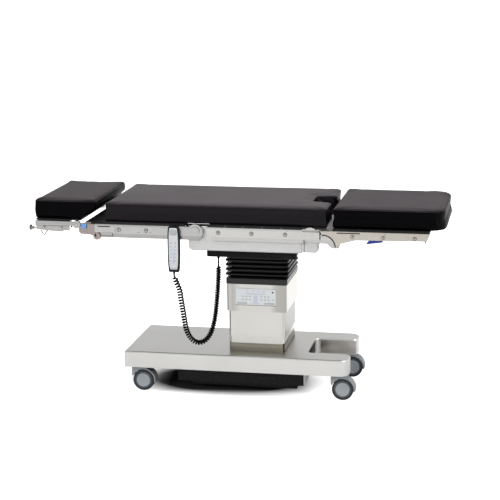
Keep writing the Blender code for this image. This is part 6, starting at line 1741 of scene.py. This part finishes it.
STUDS = (
    Stud("knuckle_stop_*", (0.4675, 0.2974, 0.7415), 0.0034, 0.003, "leg"),
    Stud("knuckle_toe_stop_*", (0.4815, 0.2974, 0.7370), 0.0028, 0.003, "leg"),
    Stud("leg_rail_pin_*_1", (0.577, RAIL_FACE, 0.8003), 0.0020, 0.002, "leg"),
    Stud("leg_rail_pin_*_2", (0.690, RAIL_FACE, 0.8003), 0.0020, 0.002, "leg"),
    Stud("back_rail_pin_*_1", (-0.434, RAIL_FACE, 0.7765), 0.0019, 0.002, "back"),
    Stud("back_rail_pin_*_2", (-0.378, RAIL_FACE, 0.7765), 0.0019, 0.002, "back"),
    Stud("seat_board_pin_*_1", (-0.0332, 0.2885, 0.8135), 0.0016, 0.004, "seat", SCREW_STEEL),
    Stud("seat_board_pin_*_2", (0.0494, 0.2885, 0.8135), 0.0016, 0.004, "seat", SCREW_STEEL),
    Stud("seat_board_pin_*_3", (0.1362, 0.2885, 0.8135), 0.0016, 0.004, "seat", SCREW_STEEL),
    Stud("seat_board_pin_*_4", (0.2225, 0.2885, 0.8135), 0.0016, 0.004, "seat", SCREW_STEEL),
    Stud("latch_knob_*", (0.4068, RAIL_FACE, 0.7790), 0.0042, 0.005, "leg", SCREW_STEEL),
    Stud("latch_dot_*", (0.3985, RAIL_FACE, 0.7724), 0.0026, 0.002, "leg"),
    Stud("head_neck_pin_*", (-0.7515, 0.2945, 0.7935), 0.0042, 0.005, "head"),
    Stud("head_hinge_pin_*", (-0.7280, 0.2970, 0.8040), 0.0050, 0.002, "head", SCREW_STEEL),
    Stud("bracket_bolt_*_1", (-0.7030, 0.2845, 0.7800), 0.0030, 0.004, "back", SCREW_STEEL),
    Stud("bracket_bolt_*_2", (-0.7000, 0.2845, 0.7680), 0.0030, 0.004, "back", SCREW_STEEL),
    # Painted shade: a black oval disc for the dark inside of the bracket's slot
    Stud(
        "bracket_slot_*", (-0.6405, 0.2922, 0.7555), 0.0036, 0.0016, "back",
        soft=0.0003, rings=1, stretch=2.0,
    ),
    Stud(
        "clamp_knob_band_*_1", (-0.9450, 0.291, 0.783), 0.0086, 0.0018, "head",
        axis="X", soft=0.0003, rings=1, steps=24,
    ),
    Stud(
        "clamp_knob_band_*_2", (-0.9370, 0.291, 0.783), 0.0086, 0.0018, "head",
        axis="X", soft=0.0003, rings=1, steps=24,
    ),
    Stud(
        "clamp_knob_face_*", (-0.9510, 0.291, 0.7845), 0.0125, 0.0062, "head", SCREW_STEEL,
        axis="X", soft=0.0014, steps=28,
    ),
    Stud(
        "clamp_knob_seal_*", (-0.9472, 0.291, 0.7845), 0.0130, 0.0018, "head",
        axis="X", soft=0.0003, rings=1, steps=28,
    ),
)


@dataclass
class Fittings:
    """Seams, painted shade in the slots, a latch and pins along the rails, painted shade round the column's
    foot and in the bay.
    """

    knuckle: Point = (0.4115, RAIL_FACE - 0.0006, 0.7325)
    knuckle_radius: float = 0.0567
    knuckle_turn: Place = (4.0, 92.0)
    seam: float = 0.0030

    def build(self) -> None:
        """Fit every small piece."""
        for side, sign in (("near", -1.0), ("far", 1.0)):
            self.knuckle_gasket(side, sign)
            for fitting in (*STRIPS, *STUDS):
                fitting.add(side, sign)
        self.plinth()
        self.bay()
        log.info("fittings: %d kinds on each side", len(STRIPS) + len(STUDS) + 1)

    def knuckle_gasket(self, side: str, sign: float) -> None:
        """The dark gasket in the curved seam of the leg section's knuckle."""
        x, y, z = self.knuckle
        start, end = self.knuckle_turn
        work = Work.ring(f"knuckle_gasket_{side}", (x, sign * y, z), self.knuckle_radius, self.seam)
        work.faces(lambda m, normal: not start < math.degrees(math.atan2(m.z - z, m.x - x)) < end).drop()
        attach(work.close(BLACK_PLASTIC), "leg")

    def plinth(self) -> None:
        """Painted shade round the column's foot: dark bands for the base's shadow and reflection, with black
        strips at two corners and along the foot end.
        """
        sides = (
            ("near", (-0.0443, -0.15275, 0.1976), (0.2143, -0.1518, 0.2350)),
            ("far", (-0.0443, 0.1518, 0.1976), (0.2143, 0.15275, 0.2350)),
            ("head", (-0.0443, -0.1518, 0.1976), (-0.0434, 0.1518, 0.2350)),
            ("foot", (0.2134, -0.1518, 0.1976), (0.2143, 0.1518, 0.2350)),
        )
        for side, low, high in sides:
            trim(f"plinth_plate_{side}", low, high, 0.0002, FOOT_SHADE_STEEL, "base")
        for i, (x, right, top) in enumerate(((-0.0444, -0.0420, 0.2640), (0.2075, 0.2144, 0.2390))):
            low, high = (x, -0.1529, 0.1978), (right, -0.1510, top)
            trim(f"plinth_guard_{i + 1}", low, high, 0.0003, BLACK_PLASTIC, "base")
        low, high = (0.2140, -0.1500, 0.1976), (0.2147, 0.1500, 0.2000)
        trim("plinth_seal", low, high, 0.0002, BLACK_PLASTIC, "base")

    def bay(self) -> None:
        """Painted shade: dark plates on the walls of the bay at the base's foot end."""
        for side, y in (("near", -0.1276), ("far", 0.1270)):
            low, high = (0.3440, y, 0.1250), (0.5160, y + 0.0006, 0.1890)
            trim(f"bay_liner_{side}", low, high, 0.0002, BAY_STEEL, "base")
        # Painted shade: the bay's end wall shows black
        low, high = (0.3204, -0.1040, 0.1250), (0.3210, 0.1040, 0.1890)
        trim("bay_liner_end", low, high, 0.0002, BLACK_PLASTIC, "base")


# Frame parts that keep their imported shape
PACKED_FINISHES = {
    "base_cover": COVER_STEEL,
    "base_chassis": BLACK_PAINT,
    "underbody_housing": BLACK_PLASTIC,
    "underbody_end_plate": COVER_STEEL,
    "column_foot": SHEET_STEEL,
    "shroud_middle": MIDDLE_STEEL,
    "shroud_upper": UPPER_STEEL,
    "guide_tube": BRIGHT_STEEL,
    "shroud_collar": COLLAR_RUBBER,
    "control_panel": PANEL_FILM,
    "tilt_": BRIGHT_STEEL,
    "carriage_housing": BLACK_PAINT,
    "cord_gland": CORD_RUBBER,
    "side_housing": WHITE_PAINT,
    "end_block": WHITE_PAINT,
    "seat_rail": RAIL_STEEL,
    "back_rail": BACK_STEEL,
    "leg_bracket": RAIL_STEEL,
    "leg_rail": LEG_STEEL,
    "head_rail": HEAD_STEEL,
    "head_bracket": HINGE_STEEL,
    "head_release_bail": BLACK_PAINT,
    "head_release_button": BLUE_BUTTON,
    "leg_release_lever": BLUE_LEVER,
    "caster_hood": CASTER_PLASTIC,
}


@dataclass
class Metalwork:
    """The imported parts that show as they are, each finished by the start of its name."""

    finishes: dict[str, Finish] = field(default_factory=lambda: PACKED_FINISHES)
    other: Finish = BOARD_LAMINATE

    def build(self) -> None:
        """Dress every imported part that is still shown."""
        for name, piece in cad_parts.items():
            if piece.hide_render:
                continue
            starts = [s for s in self.finishes if name.startswith(s)]
            finish = self.finishes[max(starts, key=len)] if starts else self.other
            finish.dress(piece)
        log.info("packed parts dressed: %d", len(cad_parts))


def main() -> None:
    """Build the studio and every sub-assembly, in order."""
    logging.basicConfig(level=logging.INFO, format="%(name)s: %(message)s")
    Studio().build()
    CurlyCord().build()
    Cushions().build()
    HandControl().build()
    ControlPanel().build()
    Bellows().build()
    Casters().build()
    RailScrews().build()
    Fittings().build()
    Metalwork().build()


if __name__ == "__main__":
    main()
